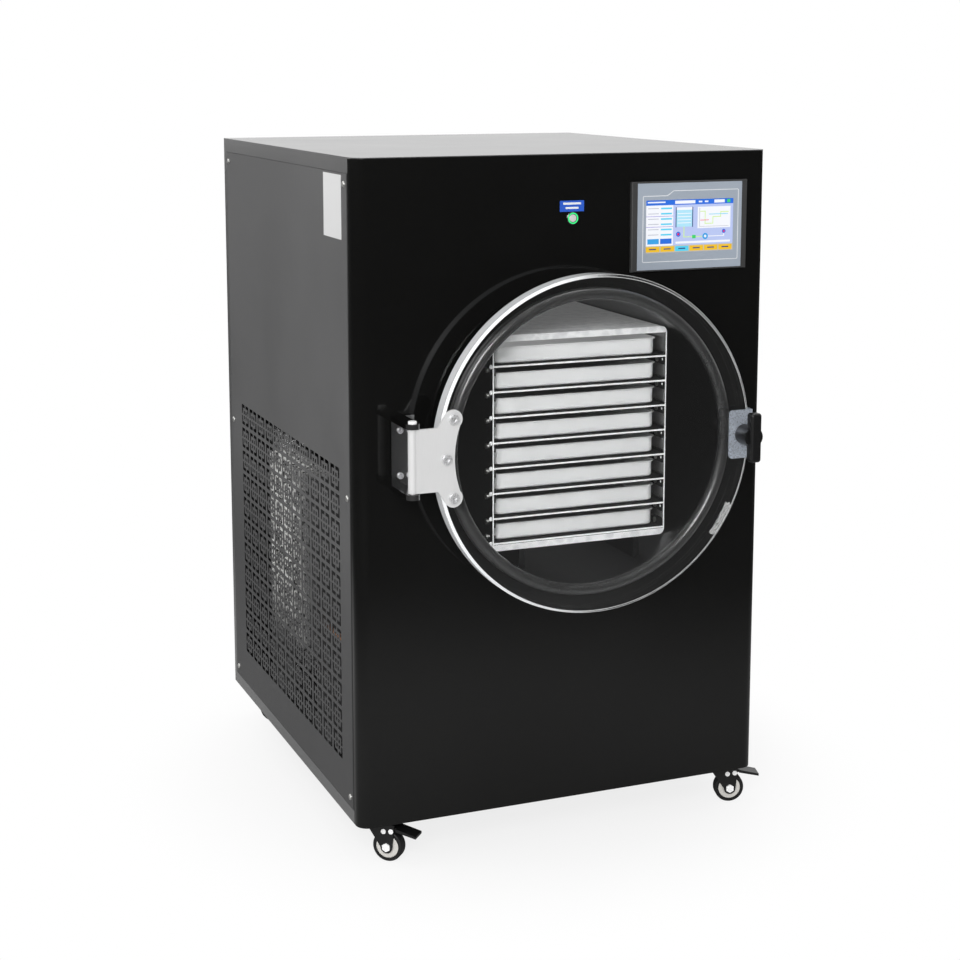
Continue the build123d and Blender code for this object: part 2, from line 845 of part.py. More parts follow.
def latch_plate():
    """The polished plate that wraps the door's rim under the latch handle."""
    right = chamber_x + door_radius + hug + latch_plate_sheet
    left = right - latch_plate_sheet - latch_plate_width
    z_span = around(chamber_z, latch_plate_height / 2)
    plate = block((left, right), (latch_plate_front, door_front), z_span)
    corners = plate.edges().filter_by(Axis.Y).group_by(Axis.X)[0]
    plate = fillet(corners, latch_plate_corner)
    plate += block((right - latch_plate_sheet, right), (door_front, door_back), z_span)
    hole_span = (latch_plate_front, door_front)
    return plate - rod_y(latch_x, chamber_z, latch_shaft_radius + running_fit, hole_span)


def latch_handle():
    """The black T-handle with its boss, its shaft through the door and the cam behind it."""
    bar = block(
        around(latch_x, latch_bar_width / 2),
        (latch_boss_front - latch_bar_thickness, latch_boss_front),
        around(chamber_z, latch_bar_height / 2),
    )
    bar = fillet(bar.edges(), latch_bar_round)
    boss_span = (latch_boss_front - latch_bar_thickness / 2, latch_plate_front - fit)
    handle = bar + rod_y(latch_x, chamber_z, latch_boss_radius, boss_span)
    handle += rod_y(latch_x, chamber_z, latch_shaft_radius, (latch_plate_front - fit, cam_back))
    half = cam_width / 2
    cam_z = (chamber_z - half, chamber_z + cam_reach)
    return handle + block(around(latch_x, half), (cam_front, cam_back), cam_z)


def latch_keeper():
    """The hook on the front panel that the cam turns behind."""
    lip_front = cam_front - fit - keeper_lip_thickness
    z_span = around(chamber_z, keeper_half_height)
    post_x = (keeper_x + keeper_lip, keeper_x + keeper_lip + keeper_post)
    keeper = block((keeper_x, post_x[1]), (lip_front, cam_front - fit), z_span)
    keeper += block(post_x, (lip_front, 0), z_span)
    base_x = (post_x[1] - keeper_base_width, post_x[1])
    return keeper + block(base_x, (-keeper_base_sheet, 0), z_span)


def display_housing():
    """The dark frame of the display, with its body through the front panel."""
    bezel = block(
        around(display_x, display_width / 2),
        (-display_bezel, 0),
        around(display_z, display_height / 2),
    )
    bezel = fillet(bezel.edges().group_by(Axis.Y)[0], display_round)
    bezel -= block(
        around(display_x, faceplate_width / 2 + hug),
        (-display_bezel, -display_bezel + faceplate_sheet),
        around(display_z, faceplate_height / 2 + hug),
    )
    body = block(
        around(display_x, display_body_width / 2),
        (0, display_body_depth),
        around(display_z, display_body_height / 2),
    )
    pocket_front = -display_bezel + faceplate_sheet
    pocket = block(
        around(display_x, screen_width / 2 + hug),
        (pocket_front, pocket_front + screen_sheet),
        around(display_z, screen_height / 2 + hug),
    )
    return bezel + body - pocket


def display_faceplate():
    """The silver front plate of the display, with a window over the screen."""
    plate_y = (-display_bezel, -display_bezel + faceplate_sheet)
    plate = block(
        around(display_x, faceplate_width / 2), plate_y, around(display_z, faceplate_height / 2)
    )
    window = block(
        around(display_x, screen_width / 2), plate_y, around(display_z, screen_height / 2)
    )
    return plate - window


def display_screen():
    """The glass of the display, behind the faceplate's window."""
    front = -display_bezel + faceplate_sheet
    return block(
        around(display_x, screen_width / 2),
        (front, front + screen_sheet),
        around(display_z, screen_height / 2),
    )


def switch_body():
    """The power switch: a round bezel and a threaded body with a well for the button."""
    bezel = rod_y(switch_x, switch_z, switch_bezel_radius, (-switch_bezel_height, 0))
    bezel = fillet(bezel.edges().group_by(Axis.Y)[0], switch_bezel_round)
    body = bezel + rod_y(switch_x, switch_z, switch_body_radius, (0, switch_body_depth))
    well = button_radius + button_gap
    well_back = button_height + button_travel + button_gap - switch_bezel_height
    body -= rod_y(switch_x, switch_z, well, (-switch_bezel_height, well_back))
    stem_back = switch_body_depth - switch_end_wall
    stem_hole = button_stem_radius + running_fit
    return body - rod_y(switch_x, switch_z, stem_hole, (well_back, stem_back))


def power_button():
    """The button that slides in the switch, with its stem."""
    front = -switch_bezel_height
    cap = rod_y(switch_x, switch_z, button_radius, (front, front + button_height))
    cap = fillet(cap.edges().group_by(Axis.Y)[0], button_round)
    stem_span = (front + button_height, front + button_height + button_stem_length)
    return cap + rod_y(switch_x, switch_z, button_stem_radius, stem_span)


def switch_label():
    """A plain blue label above the switch."""
    z_span = around(switch_z + label_rise, label_height / 2)
    return block(around(switch_x - label_shift, label_width / 2), (-label_sheet, 0), z_span)


def side_label():
    """A blank white label high on the left side panel."""
    y_span = (side_label_front, side_label_front + side_label_width)
    top = cabinet_top - side_label_drop
    return block((-label_sheet, 0), y_span, (top - side_label_height, top))


def compressor():
    """The hermetic compressor: a domed can on its foot plate, with a terminal box."""
    can_bottom = foot_plate_bottom + foot_plate_sheet
    can_z = (can_bottom, can_bottom + compressor_height)
    can = rod_z(compressor_x, compressor_y, compressor_radius, can_z)
    can = fillet(can.edges().group_by(Axis.Z)[-1], compressor_dome)
    feet = block(
        around(compressor_x, foot_plate_x / 2),
        around(compressor_y, foot_plate_y / 2),
        (foot_plate_bottom, can_bottom),
    )
    side = compressor_x + compressor_radius
    terminal = block(
        (side - terminal_sink, side + terminal_reach),
        around(compressor_y, terminal_width / 2),
        (can_bottom + terminal_rise, can_bottom + terminal_rise + terminal_height),
    )
    return can + feet + terminal


def compressor_mounts():
    """Four rubber mounts between the compressor's foot plate and the deck."""
    half_x = foot_plate_x / 2 - mount_inset
    half_y = foot_plate_y / 2 - mount_inset
    return [
        rod_z(x, y, mount_radius, (deck_top, foot_plate_bottom))
        for x in around(compressor_x, half_x)
        for y in around(compressor_y, half_y)
    ]


def condenser():
    """The finned condenser behind the left vent, on two end plates that stand on the deck."""
    back = condenser_front + condenser_length
    z_span = (condenser_bottom, condenser_bottom + condenser_rise)
    ends = [
        block(condenser_x, (low, low + condenser_end_sheet), (deck_top, z_span[1]))
        for low in (condenser_front, back - condenser_end_sheet)
    ]
    fins = []
    for index in range(fin_count):
        y = condenser_front + (index + 1) * condenser_length / (fin_count + 1)
        fins.append(block(condenser_x, around(y, fin_sheet / 2), z_span))
    tubes = []
    for index in range(fin_tubes):
        z = z_span[0] + (index + 0.5) * condenser_rise / fin_tubes
        tubes.append(rod_y(sum(condenser_x) / 2, z, fin_tube_radius, (condenser_front, back)))
    return tubes[0] + tubes[1:] + ends + fins


def fan_motor():
    """The fan motor on four arms and a ring that is fixed to the condenser."""
    motor = rod_x(fan_y, fan_z, motor_radius, (motor_x, motor_x + motor_length))
    shaft_hole = fan_shaft_radius + running_fit
    ring = rod_x(fan_y, fan_z, basket_ring, (condenser_x[1], condenser_x[1] + basket_arm))
    ring -= rod_x(fan_y, fan_z, basket_ring - basket_arm, (condenser_x[1], motor_x))
    arm_x = (motor_x, motor_x + basket_arm)
    half = basket_arm / 2
    arms = block(arm_x, around(fan_y, basket_ring - half), around(fan_z, half))
    arms += block(arm_x, around(fan_y, half), around(fan_z, basket_ring - half))
    post_x = (condenser_x[1], motor_x + basket_arm)
    offset = basket_ring - half
    for y, z in ((offset, 0), (-offset, 0), (0, offset), (0, -offset)):
        arms += block(post_x, around(fan_y + y, half), around(fan_z + z, half))
    bore_span = (motor_x, motor_x + fan_shaft_length)
    return motor + ring + arms - rod_x(fan_y, fan_z, shaft_hole, bore_span)


def fan_blade():
    """The fan's hub, its pitched blades and its shaft."""
    hub_x = (fan_x, fan_x + fan_hub_length)
    fan = rod_x(fan_y, fan_z, fan_hub_radius, hub_x)
    fan += rod_x(fan_y, fan_z, fan_shaft_radius, (hub_x[1], hub_x[1] + fan_shaft_length - fit))
    root = fan_hub_radius - fan_blade_root
    length = fan_radius - root
    middle = root + length / 2
    for index in range(fan_blades):
        blade = Rot(0, 0, fan_blade_pitch) * Box(fan_blade_sheet, fan_blade_width, length)
        turned = Rot(index * 360 / fan_blades, 0, 0) * Pos(0, 0, middle) * blade
        fan += Pos(fan_x + fan_hub_length / 2, fan_y, fan_z) * turned
    return fan


def pipe(*points):
    """A copper pipe along straight runs joined by bends."""
    route = FilletPolyline(*points, radius=pipe_bend)
    start = Plane(origin=route @ 0, z_dir=route % 0)
    return sweep(start * Circle(pipe_radius), path=route)


def refrigerant_pipes():
    """The discharge, liquid and suction pipes of the refrigeration set."""
    low = deck_top + pipe_rise
    can_front = compressor_y - compressor_radius
    can_back = compressor_y + compressor_radius
    turn_front = can_front - pipe_gap
    turn_back = can_back + pipe_gap
    condenser_mid = sum(condenser_x) / 2
    entry = condenser_bottom + pipe_entry
    discharge = pipe(
        (compressor_x, can_front, low),
        (compressor_x, turn_front, low),
        (condenser_mid, turn_front, low),
        (condenser_mid, turn_front, entry),
        (condenser_mid, condenser_front, entry),
    )
    jacket_bottom = chamber_z - insulation_outer
    suction = pipe(
        (compressor_x, can_back, low),
        (compressor_x, turn_back, low),
        (chamber_x, turn_back, low),
        (chamber_x, turn_back, jacket_bottom - hug),
    )
    back = condenser_front + condenser_length
    exit_z = condenser_bottom + liquid_entry
    liquid_x = chamber_x - liquid_offset
    liquid = pipe(
        (condenser_mid, back, exit_z),
        (condenser_mid, back + liquid_gap, exit_z),
        (liquid_x, back + liquid_gap, exit_z),
        (liquid_x, coil_back, exit_z),
        (liquid_x, coil_back, jacket_bottom + liquid_lift),
    )
    return [discharge, suction, liquid]


def control_box():
    """The closed sheet box for the controller, hung from the cabinet's top."""
    top = cabinet_top - shell_sheet
    return block(
        around(display_x - control_box_shift, control_box_width / 2),
        (control_box_front, control_box_front + control_box_depth),
        (top - control_box_height, top),
    )


def vacuum_port():
    """The vacuum pipe from the chamber's back through the rear panel, with a clamp flange."""
    outer = port_bore + port_wall
    end = cabinet_depth + port_reach
    port = rod_y(port_x, port_z, outer, (chamber_depth, end))
    flange_span = (end - port_flange_thickness, end)
    port += rod_y(port_x, port_z, port_flange_radius, flange_span)
    return port - rod_y(port_x, port_z, port_bore, (chamber_depth, end))


def inlet_body(y_span):
    """The body of the power inlet between two depths."""
    across = around(inlet_x, inlet_width / 2 - inlet_ear)
    return block(across, y_span, around(inlet_z, inlet_height / 2 - inlet_lip))


def power_inlet():
    """The mains inlet at the back: a flanged socket with three flat pins."""
    rear = cabinet_depth + inlet_flange
    flange = block(
        around(inlet_x, inlet_width / 2),
        (cabinet_depth, rear),
        around(inlet_z, inlet_height / 2),
    )
    inlet = flange + inlet_body((cabinet_depth - inlet_body_depth, cabinet_depth))
    socket_span = (rear - inlet_socket_depth, rear)
    inlet -= block(
        around(inlet_x, inlet_socket_width / 2),
        socket_span,
        around(inlet_z, inlet_socket_height / 2),
    )
    outer_z = inlet_z - blade_step
    places = ((-blade_spacing, outer_z), (0, inlet_z + blade_step), (blade_spacing, outer_z))
    for offset_x, z in places:
        inlet += block(
            around(inlet_x + offset_x, blade_width / 2),
            (socket_span[0], socket_span[0] + blade_length),
            around(z, blade_height / 2),
        )
    return inlet


def caster_bolt_places(x, y):
    """The four bolts round one caster's swivel."""
    half = caster_bolt_spacing / 2
    return [(bolt_x, bolt_y) for bolt_x in around(x, half) for bolt_y in around(y, half)]


def caster_plates():
    """The four fixed plates of the casters, each with its bolts through the corner plate."""
    plates = []
    plate_z = (plate_bottom, caster_height)
    for x, y in caster_places:
        half = caster_plate_size / 2
        plate = block(around(x, half), around(y, half), plate_z)
        plate = fillet(plate.edges().filter_by(Axis.Z), caster_plate_round)
        plate -= rod_z(x, y, kingpin_radius + running_fit, plate_z)
        for bolt_x, bolt_y in caster_bolt_places(x, y):
            head_z = (plate_bottom - caster_bolt_head_height, plate_bottom)
            plate += rod_z(bolt_x, bolt_y, caster_bolt_head, head_z)
            shank_z = (caster_height, caster_height + channel_wall)
            plate += rod_z(bolt_x, bolt_y, caster_bolt_radius, shank_z)
        plates.append(plate)
    return plates


def caster_fork():
    """One caster's swivelling fork with its kingpin and axle, with the wheel trailing along +x."""
    fork = rod_z(0, 0, race_radius, (bridge_top, plate_bottom - fit))
    fork += rod_z(0, 0, kingpin_radius, (bridge_top, caster_height))
    outer = leg_inner + leg_sheet
    bridge_z = (bridge_top - bridge_sheet, bridge_top)
    fork += block((-bridge_back, brake_pivot_x), (-outer, outer), bridge_z)
    profile = [
        (-bridge_back, bridge_top),
        (brake_pivot_x + brake_boss_radius + leg_margin, bridge_top),
        (trail + leg_foot_radius, wheel_radius),
        (trail - leg_foot_radius, wheel_radius),
    ]
    foot = Pos(trail, wheel_radius) * Circle(leg_foot_radius)
    leg = make_face(Polyline(*profile, close=True)) + foot
    for low in (leg_inner, -outer):
        plate = extrude(Plane.XZ * leg, -leg_sheet)
        plate = Pos(0, low, 0) * plate
        pin_hole = brake_pin_radius + running_fit
        plate -= rod_y(brake_pivot_x, brake_pivot_z, pin_hole, (low, low + leg_sheet))
        fork += plate
    slot_back = brake_pivot_x - brake_boss_radius - brake_slot_back
    slot_x = (slot_back, brake_pivot_x + brake_slot_front)
    fork -= block(slot_x, (-leg_inner, leg_inner), bridge_z)
    fork += rod_y(trail, wheel_radius, axle_radius, (-outer, outer))
    for low in (outer, -outer - axle_head_height):
        fork += rod_y(trail, wheel_radius, axle_head_radius, (low, low + axle_head_height))
    return fork


def caster_wheel():
    """One caster's wheel, with a proud hub and a recessed face."""
    half = wheel_width / 2
    wheel = rod_y(trail, wheel_radius, wheel_radius, (-half, half))
    wheel = fillet(wheel.edges().filter_by(GeomType.CIRCLE), wheel_round)
    for low in (half - rim_recess, -half):
        wheel -= rod_y(trail, wheel_radius, rim_radius, (low, low + rim_recess))
    wheel += rod_y(trail, wheel_radius, hub_radius, around(0, half + hub_proud))
    return wheel - rod_y(trail, wheel_radius, axle_radius + running_fit, around(0, half + hub_proud))


def caster_brake():
    """One caster's brake pedal on its pivot pin, reaching out over the wheel."""
    inner_half = leg_inner - fit
    boss = rod_y(brake_pivot_x, brake_pivot_z, brake_boss_radius, around(0, inner_half))
    outer = leg_inner + leg_sheet
    pedal = boss + rod_y(brake_pivot_x, brake_pivot_z, brake_pin_radius, around(0, outer))
    low = brake_pivot_z - brake_boss_radius + pedal_thickness / 2
    neck = [
        (brake_pivot_x, brake_pivot_z + brake_boss_radius),
        (pedal_start, low + pedal_thickness + pedal_swell),
        (pedal_start, low),
        (brake_pivot_x, low),
    ]
    neck_face = Plane.XZ * make_face(Polyline(*neck, close=True))
    pedal += extrude(neck_face, inner_half, both=True)
    pad = [
        (pedal_start, low + pedal_thickness + pedal_swell),
        (pedal_reach, low + pedal_thickness - pedal_slope),
        (pedal_reach, low - pedal_slope),
        (pedal_start, low),
    ]
    pad_face = Plane.XZ * make_face(Polyline(*pad, close=True))
    plate = extrude(pad_face, pedal_half_width, both=True)
    return pedal + plate


def caster_pieces():
    """The moving pieces of all four casters, each turned to its heading."""
    pieces = {}
    for number, ((x, y), heading) in enumerate(zip(caster_places, caster_headings), start=1):
        place = Pos(x, y, 0) * Rot(0, 0, heading)
        pieces[f"caster_fork_{number}"] = place * caster_fork()
        pieces[f"caster_wheel_{number}"] = place * caster_wheel()
        pieces[f"caster_brake_{number}"] = place * caster_brake()
    return pieces


def all_pieces():
    """Every piece of the machine in the cabinet's frame, by name."""
    left_panel = side_panel()
    pieces = {
        "base_frame": base_frame(),
        "cabinet_shell": cabinet_shell(),
        "front_panel": front_panel(),
        "left_side_panel": left_panel,
        "right_side_panel": mirrored(left_panel),
        "rear_panel": rear_panel(),
        "panel_screws": panel_screws(),
        "chamber": chamber(),
        "chamber_insulation": chamber_insulation(),
        "cooling_coil": cooling_coil(),
        "door_gasket": door_gasket(),
        "rack_sides": rack_sides(),
        "shelves": shelves(),
        "rack_end_plates": rack_end_plates(),
        "rack_screws": rack_screws(),
        "compressor": compressor(),
        "compressor_mounts": compressor_mounts(),
        "condenser": condenser(),
        "fan_motor": fan_motor(),
        "fan_blade": fan_blade(),
        "refrigerant_pipes": refrigerant_pipes(),
        "control_box": control_box(),
        "display_housing": display_housing(),
        "display_faceplate": display_faceplate(),
        "display_screen": display_screen(),
        "switch_body": switch_body(),
        "power_button": power_button(),
        "labels": [switch_label(), side_label()],
        "hinge_bracket": hinge_bracket(),
        "hinge_bolts": hinge_bolts(),
        "hinge_pin": hinge_pin(),
        "door": door(),
        "hinge_leaf": hinge_leaf(),
        "leaf_screws": leaf_screws(),
        "latch_plate": latch_plate(),
        "latch_handle": latch_handle(),
        "latch_keeper": latch_keeper(),
        "vacuum_port": vacuum_port(),
        "power_inlet": power_inlet(),
        "caster_plates": caster_plates(),
    }
    for index in range(tray_count):
        pieces[f"tray_{index + 1}"] = tray(index)
    pieces.update(caster_pieces())
    for name, piece in pieces.items():
        if isinstance(piece, list):
            pieces[name] = Compound([solid for part in piece for solid in part.solids()])
    return pieces


pieces = all_pieces()
boxes = [piece.bounding_box() for piece in pieces.values()]
origin_x = (min(box.min.X for box in boxes) + max(box.max.X for box in boxes)) / 2
origin_y = (min(box.min.Y for box in boxes) + max(box.max.Y for box in boxes)) / 2

os.makedirs("parts", exist_ok=True)
for name, piece in pieces.items():
    export_step(Pos(-origin_x, -origin_y, 0) * piece, f"parts/{name}.step")
print(f"{len(pieces)} nodes, origin at x {origin_x:.2f}, y {origin_y:.2f} in the cabinet's frame")
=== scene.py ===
"""Freeze dryer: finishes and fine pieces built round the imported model, as an add-on run as a script."""

import json
import math

import bmesh
import bpy
from bpy.props import FloatProperty, FloatVectorProperty, IntProperty, PointerProperty
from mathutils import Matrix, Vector


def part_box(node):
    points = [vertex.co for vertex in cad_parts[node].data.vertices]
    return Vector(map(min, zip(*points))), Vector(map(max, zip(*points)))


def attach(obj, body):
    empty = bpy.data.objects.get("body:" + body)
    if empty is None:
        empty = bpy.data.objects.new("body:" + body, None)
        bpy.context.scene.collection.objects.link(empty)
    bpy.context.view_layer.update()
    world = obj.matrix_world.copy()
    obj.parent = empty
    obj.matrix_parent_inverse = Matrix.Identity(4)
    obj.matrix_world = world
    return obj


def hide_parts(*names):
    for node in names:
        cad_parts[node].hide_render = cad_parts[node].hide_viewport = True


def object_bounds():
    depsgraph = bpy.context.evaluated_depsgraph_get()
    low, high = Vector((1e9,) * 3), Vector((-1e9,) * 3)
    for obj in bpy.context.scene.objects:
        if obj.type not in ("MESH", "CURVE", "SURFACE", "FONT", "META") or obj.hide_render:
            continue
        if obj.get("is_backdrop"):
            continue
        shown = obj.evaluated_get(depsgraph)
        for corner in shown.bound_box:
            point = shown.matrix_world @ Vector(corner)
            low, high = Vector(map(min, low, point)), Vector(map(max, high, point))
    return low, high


bl_info = {
    "name": "Freeze dryer",
    "version": (1, 0, 0),
    "blender": (4, 5, 0),
    "location": "View3D > Sidebar > Freeze dryer",
    "description": "Builds the finishes and fine pieces of a cabinet freeze dryer",
    "category": "Object",
}

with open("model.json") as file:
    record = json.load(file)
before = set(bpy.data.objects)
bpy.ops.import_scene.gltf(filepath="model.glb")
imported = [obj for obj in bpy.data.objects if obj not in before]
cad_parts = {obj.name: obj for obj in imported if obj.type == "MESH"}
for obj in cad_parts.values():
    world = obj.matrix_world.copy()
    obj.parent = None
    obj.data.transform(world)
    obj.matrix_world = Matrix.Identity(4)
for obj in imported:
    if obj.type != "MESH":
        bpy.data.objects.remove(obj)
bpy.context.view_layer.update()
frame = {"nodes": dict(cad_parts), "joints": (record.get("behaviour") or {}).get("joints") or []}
TOUCH = 0.00001
SHARP = math.radians(40)
NODE_STEP = 220


# ---------------------------------------------------------------- sizes and colours


def length(name, description, default):
    """A size property in metres."""
    return FloatProperty(name=name, description=description, default=default, min=0.0, unit="LENGTH")


def colour(name, description, default):
    """A colour property."""
    return FloatVectorProperty(
        name=name, description=description, default=default, size=3, min=0.0, max=1.0, subtype="COLOR"
    )


class FreezeDryerSizes(bpy.types.PropertyGroup):
    """Sizes of the fine pieces."""

    vent_columns: IntProperty(name="Vent columns", description="Tiles along the vent", default=11, min=1)
    vent_rows: IntProperty(name="Vent rows", description="Tiles up the vent", default=11, min=1)
    vent_front: length("Vent front margin", "From the panel's front edge to the vent", 0.0528)
    vent_rear: length("Vent rear margin", "From the vent to the panel's rear edge", 0.0694)
    vent_bottom: length("Vent bottom margin", "From the panel's lower edge to the vent", 0.0609)
    vent_height: length("Vent height", "Height of all the rows", 0.4785)
    vent_sheet: length("Vent sheet", "Thickness of the sheet in the vent", 0.0008)
    slot_corner: length("Slot corner", "Chamfer of a slot's outer corner", 0.0022)
    vessel_radius: length("Vessel radius", "Radius of the foil-wrapped vessel", 0.038)
    vessel_top: length("Vessel top", "Height of the vessel's shoulder over the floor", 0.6)
    vessel_crown: length("Vessel crown", "Rise of the vessel's top over its shoulder", 0.012)
    outline_left: length("Outline left margin", "From the plate's left edge to the printed line", 0.009)
    outline_right: length("Outline right margin", "From the plate's right edge to the printed line", 0.006)
    outline_margin: length("Outline margin", "From the plate's top and bottom to the printed line", 0.012)
    outline_step: length("Outline step", "Drop of the printed line at its left", 0.0075)
    outline_step_start: length("Outline step start", "From the line's left end to its slope", 0.043)
    outline_step_run: length("Outline step run", "Length of the slope of the printed line", 0.011)
    outline_corner: length("Outline corner", "Round of the printed line's corners", 0.0022)
    outline_width: length("Outline width", "Width of the printed line on the display's plate", 0.0011)
    print_sheet: length("Print thickness", "Thickness of printed marks", 0.0002)
    ring_sheet: length("Switch ring thickness", "Thickness of the switch's lit ring", 0.0007)
    ring_outer: length("Switch ring radius", "Outer radius of the switch's lit ring", 0.0086)
    ring_inner: length("Switch ring inner radius", "Inner radius of the switch's lit ring", 0.0068)
    door_chamfer: length("Door chamfer", "Chamfer of the door's front edge", 0.004)
    rim_gap: length("Rim gap", "From the door's chamfer to its turned edge", 0.0009)
    gasket_half: length("Gasket half width", "Half the width of the door gasket", 0.009)
    rack_sheet: length("Rack sheet", "Thickness of the rack's side sheets at their edges", 0.002)
    lip_height: length("Lip height", "Height of a shelf's folded lip", 0.0026)
    lip_depth: length("Lip depth", "Depth of a shelf's folded lip", 0.0006)
    lip_fold: length("Lip fold", "How far the middle of a lip stands back", 0.0004)
    nut_setback: length("Nut setback", "From the rack's front to the middle of its nuts", 0.0045)
    fork_side: length("Fork side", "From a wheel's middle to its fork's outer face", 0.0127)
    disc_side: length("Wheel disc side", "From a wheel's middle to its disc", 0.0081)
    disc_outer: length("Wheel disc radius", "Outer radius of the pale disc in a wheel", 0.0186)
    disc_inner: length("Wheel disc bore", "Inner radius of the pale disc in a wheel", 0.0076)
    disc_sheet: length("Wheel disc thickness", "Thickness of the pale disc in a wheel", 0.0007)


class FreezeDryerColours(bpy.types.PropertyGroup):
    """Colours of the finishes."""

    front: colour("Front", "Gloss black front", (0.0045, 0.0045, 0.0043))
    side: colour("Side", "Textured grey sides", (0.1, 0.1, 0.101))
    faceplate: colour("Faceplate", "Silver plate of the display", (0.41, 0.465, 0.54))
    frame_plastic: colour("Display frame", "Dark frame of the display", (0.045, 0.045, 0.045))
    stainless: colour("Stainless", "Satin stainless steel", (0.77, 0.77, 0.77))
    polished: colour("Polished steel", "Polished steel", (0.34, 0.34, 0.34))
    tray: colour("Trays", "Bright tray metal", (0.97, 0.97, 0.97))
    acrylic: colour("Door", "Clear acrylic", (0.97, 0.98, 0.98))
    rubber: colour("Rubber", "Black rubber", (0.008, 0.008, 0.008))
    label_blue: colour("Switch label", "Blue label over the switch", (0.02, 0.10, 0.55))
    lit_green: colour("Switch ring", "Lit ring of the switch", (0.05, 0.9, 0.25))
    floor: colour("Floor", "Floor and background", (1.0, 1.0, 1.0))


def sizes():
    """The sizes set in the panel."""
    return bpy.context.scene.freeze_dryer_sizes


def colours():
    """The colours set in the panel."""
    return bpy.context.scene.freeze_dryer_colours


# ---------------------------------------------------------------- modelling helpers


def deselect():
    """Leaves edit mode and selects nothing."""
    if bpy.context.mode != "OBJECT":
        bpy.ops.object.mode_set(mode="OBJECT")
    bpy.ops.object.select_all(action="DESELECT")


def activate(piece):
    """Selects only this piece."""
    deselect()
    piece.select_set(True)
    bpy.context.view_layer.objects.active = piece


def settle(name):
    """Names the new primitive and puts its place into its mesh."""
    piece = bpy.context.object
    piece.name = piece.data.name = name
    bpy.ops.object.transform_apply(location=True, rotation=True, scale=True)
    return piece


def start_box(name, low, high):
    """A box primitive between two corners."""
    deselect()
    low, high = Vector(low), Vector(high)
    bpy.ops.mesh.primitive_cube_add(size=1, location=(low + high) / 2, scale=high - low)
    return settle(name)


def start_sheet(name, centre, width, height, turn=(math.pi / 2, 0, 0)):
    """A flat sheet, upright and facing forwards unless it is turned otherwise."""
    deselect()
    bpy.ops.mesh.primitive_plane_add(size=1, location=centre, rotation=turn)
    bpy.context.object.scale = (width, height, 1)
    return settle(name)


def start_disc(name, centre, radius, turn=(math.pi / 2, 0, 0), corners=48):
    """A flat disc, upright and facing forwards unless it is turned otherwise."""
    deselect()
    bpy.ops.mesh.primitive_circle_add(
        vertices=corners, radius=radius, fill_type="NGON", location=centre, rotation=turn
    )
    return settle(name)


def edit(piece, kind="FACE", everything=False):
    """Enters edit mode on this piece with nothing or everything selected."""
    activate(piece)
    bpy.ops.object.mode_set(mode="EDIT")
    bpy.ops.mesh.select_mode(type=kind)
    bpy.ops.mesh.select_all(action="SELECT" if everything else "DESELECT")


def pick(piece, kind, test):
    """Selects the vertices, edges or faces that pass the test: an edge by its ends, a face by its middle."""
    mesh = bmesh.from_edit_mesh(piece.data)
    bpy.ops.mesh.select_all(action="DESELECT")
    found = 0
    for item in {"VERT": mesh.verts, "EDGE": mesh.edges, "FACE": mesh.faces}[kind]:
        if kind == "VERT":
            hit = test(item.co)
        elif kind == "EDGE":
            hit = all(test(corner.co) for corner in item.verts)
        else:
            hit = test(item.calc_center_median())
        item.select = hit
        found += hit
    mesh.select_flush_mode()
    bmesh.update_edit_mesh(piece.data)
    if not found:
        raise RuntimeError(f"nothing was picked on {piece.name}")


def cut(place, normal):
    """Cuts the whole edited piece with a plane and keeps both sides."""
    bpy.ops.mesh.select_all(action="SELECT")
    bpy.ops.mesh.bisect(plane_co=place, plane_no=normal)


def modify(piece, kind, **settings):
    """Adds a modifier and applies it."""
    activate(piece)
    modifier = piece.modifiers.new(kind.title(), kind)
    for key, value in settings.items():
        setattr(modifier, key, value)
    bpy.ops.object.modifier_apply(modifier=modifier.name)


def twin(piece, name):
    """A copy of a piece with its own mesh."""
    activate(piece)
    bpy.ops.object.duplicate(linked=False)
    other = bpy.context.object
    other.name = other.data.name = name
    return other


def joined(name, parts):
    """Several parts made into one piece."""
    deselect()
    for part in parts:
        part.select_set(True)
    bpy.context.view_layer.objects.active = parts[0]
    if len(parts) > 1:
        bpy.ops.object.join()
    piece = bpy.context.object
    piece.name = piece.data.name = name
    return piece


def outward(piece):
    """Merges doubles and turns all faces outwards."""
    edit(piece, "VERT", everything=True)
    bpy.ops.mesh.remove_doubles(threshold=TOUCH)
    bpy.ops.mesh.normals_make_consistent(inside=False)
    bpy.ops.object.mode_set(mode="OBJECT")


def finish_piece(piece, body, slot, *materials, angle=35):
    """Smooths a piece, gives it its finish and lets it ride on its body."""
    activate(piece)
    bpy.ops.object.shade_smooth_by_angle(angle=math.radians(angle))
    if materials:
        piece.data.materials.clear()
        for material in materials:
            piece.data.materials.append(material)
    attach(piece, body)
    return piece


# ---------------------------------------------------------------- surface patterns


def node(tree, kind, *feeds, **settings):
    """A node with its settings, whose inputs take a value or another node's output."""
    new = tree.nodes.new("ShaderNode" + kind)
    new.location = (NODE_STEP * len(tree.nodes), 0)
    named = {}
    for key, value in settings.items():
        if hasattr(new, key):
            setattr(new, key, value)
        else:
            named[key.replace("_", " ")] = value
    for key, value in (*enumerate(feeds), *named.items()):
        feed(tree, new.inputs[key], value)
    return new


def feed(tree, socket, value):
    """Links an output to an input, or sets the input's value."""
    if isinstance(value, bpy.types.NodeSocket):
        tree.links.new(value, socket)
    else:
        socket.default_value = value


def reckon(tree, operation, *feeds):
    """The output of a Math node."""
    return node(tree, "Math", *feeds, operation=operation).outputs[0]


def combined(tree, operation, parts):
    """Several outputs put together by one operation."""
    whole, *others = parts
    for part in others:
        whole = reckon(tree, operation, whole, part)
    return whole


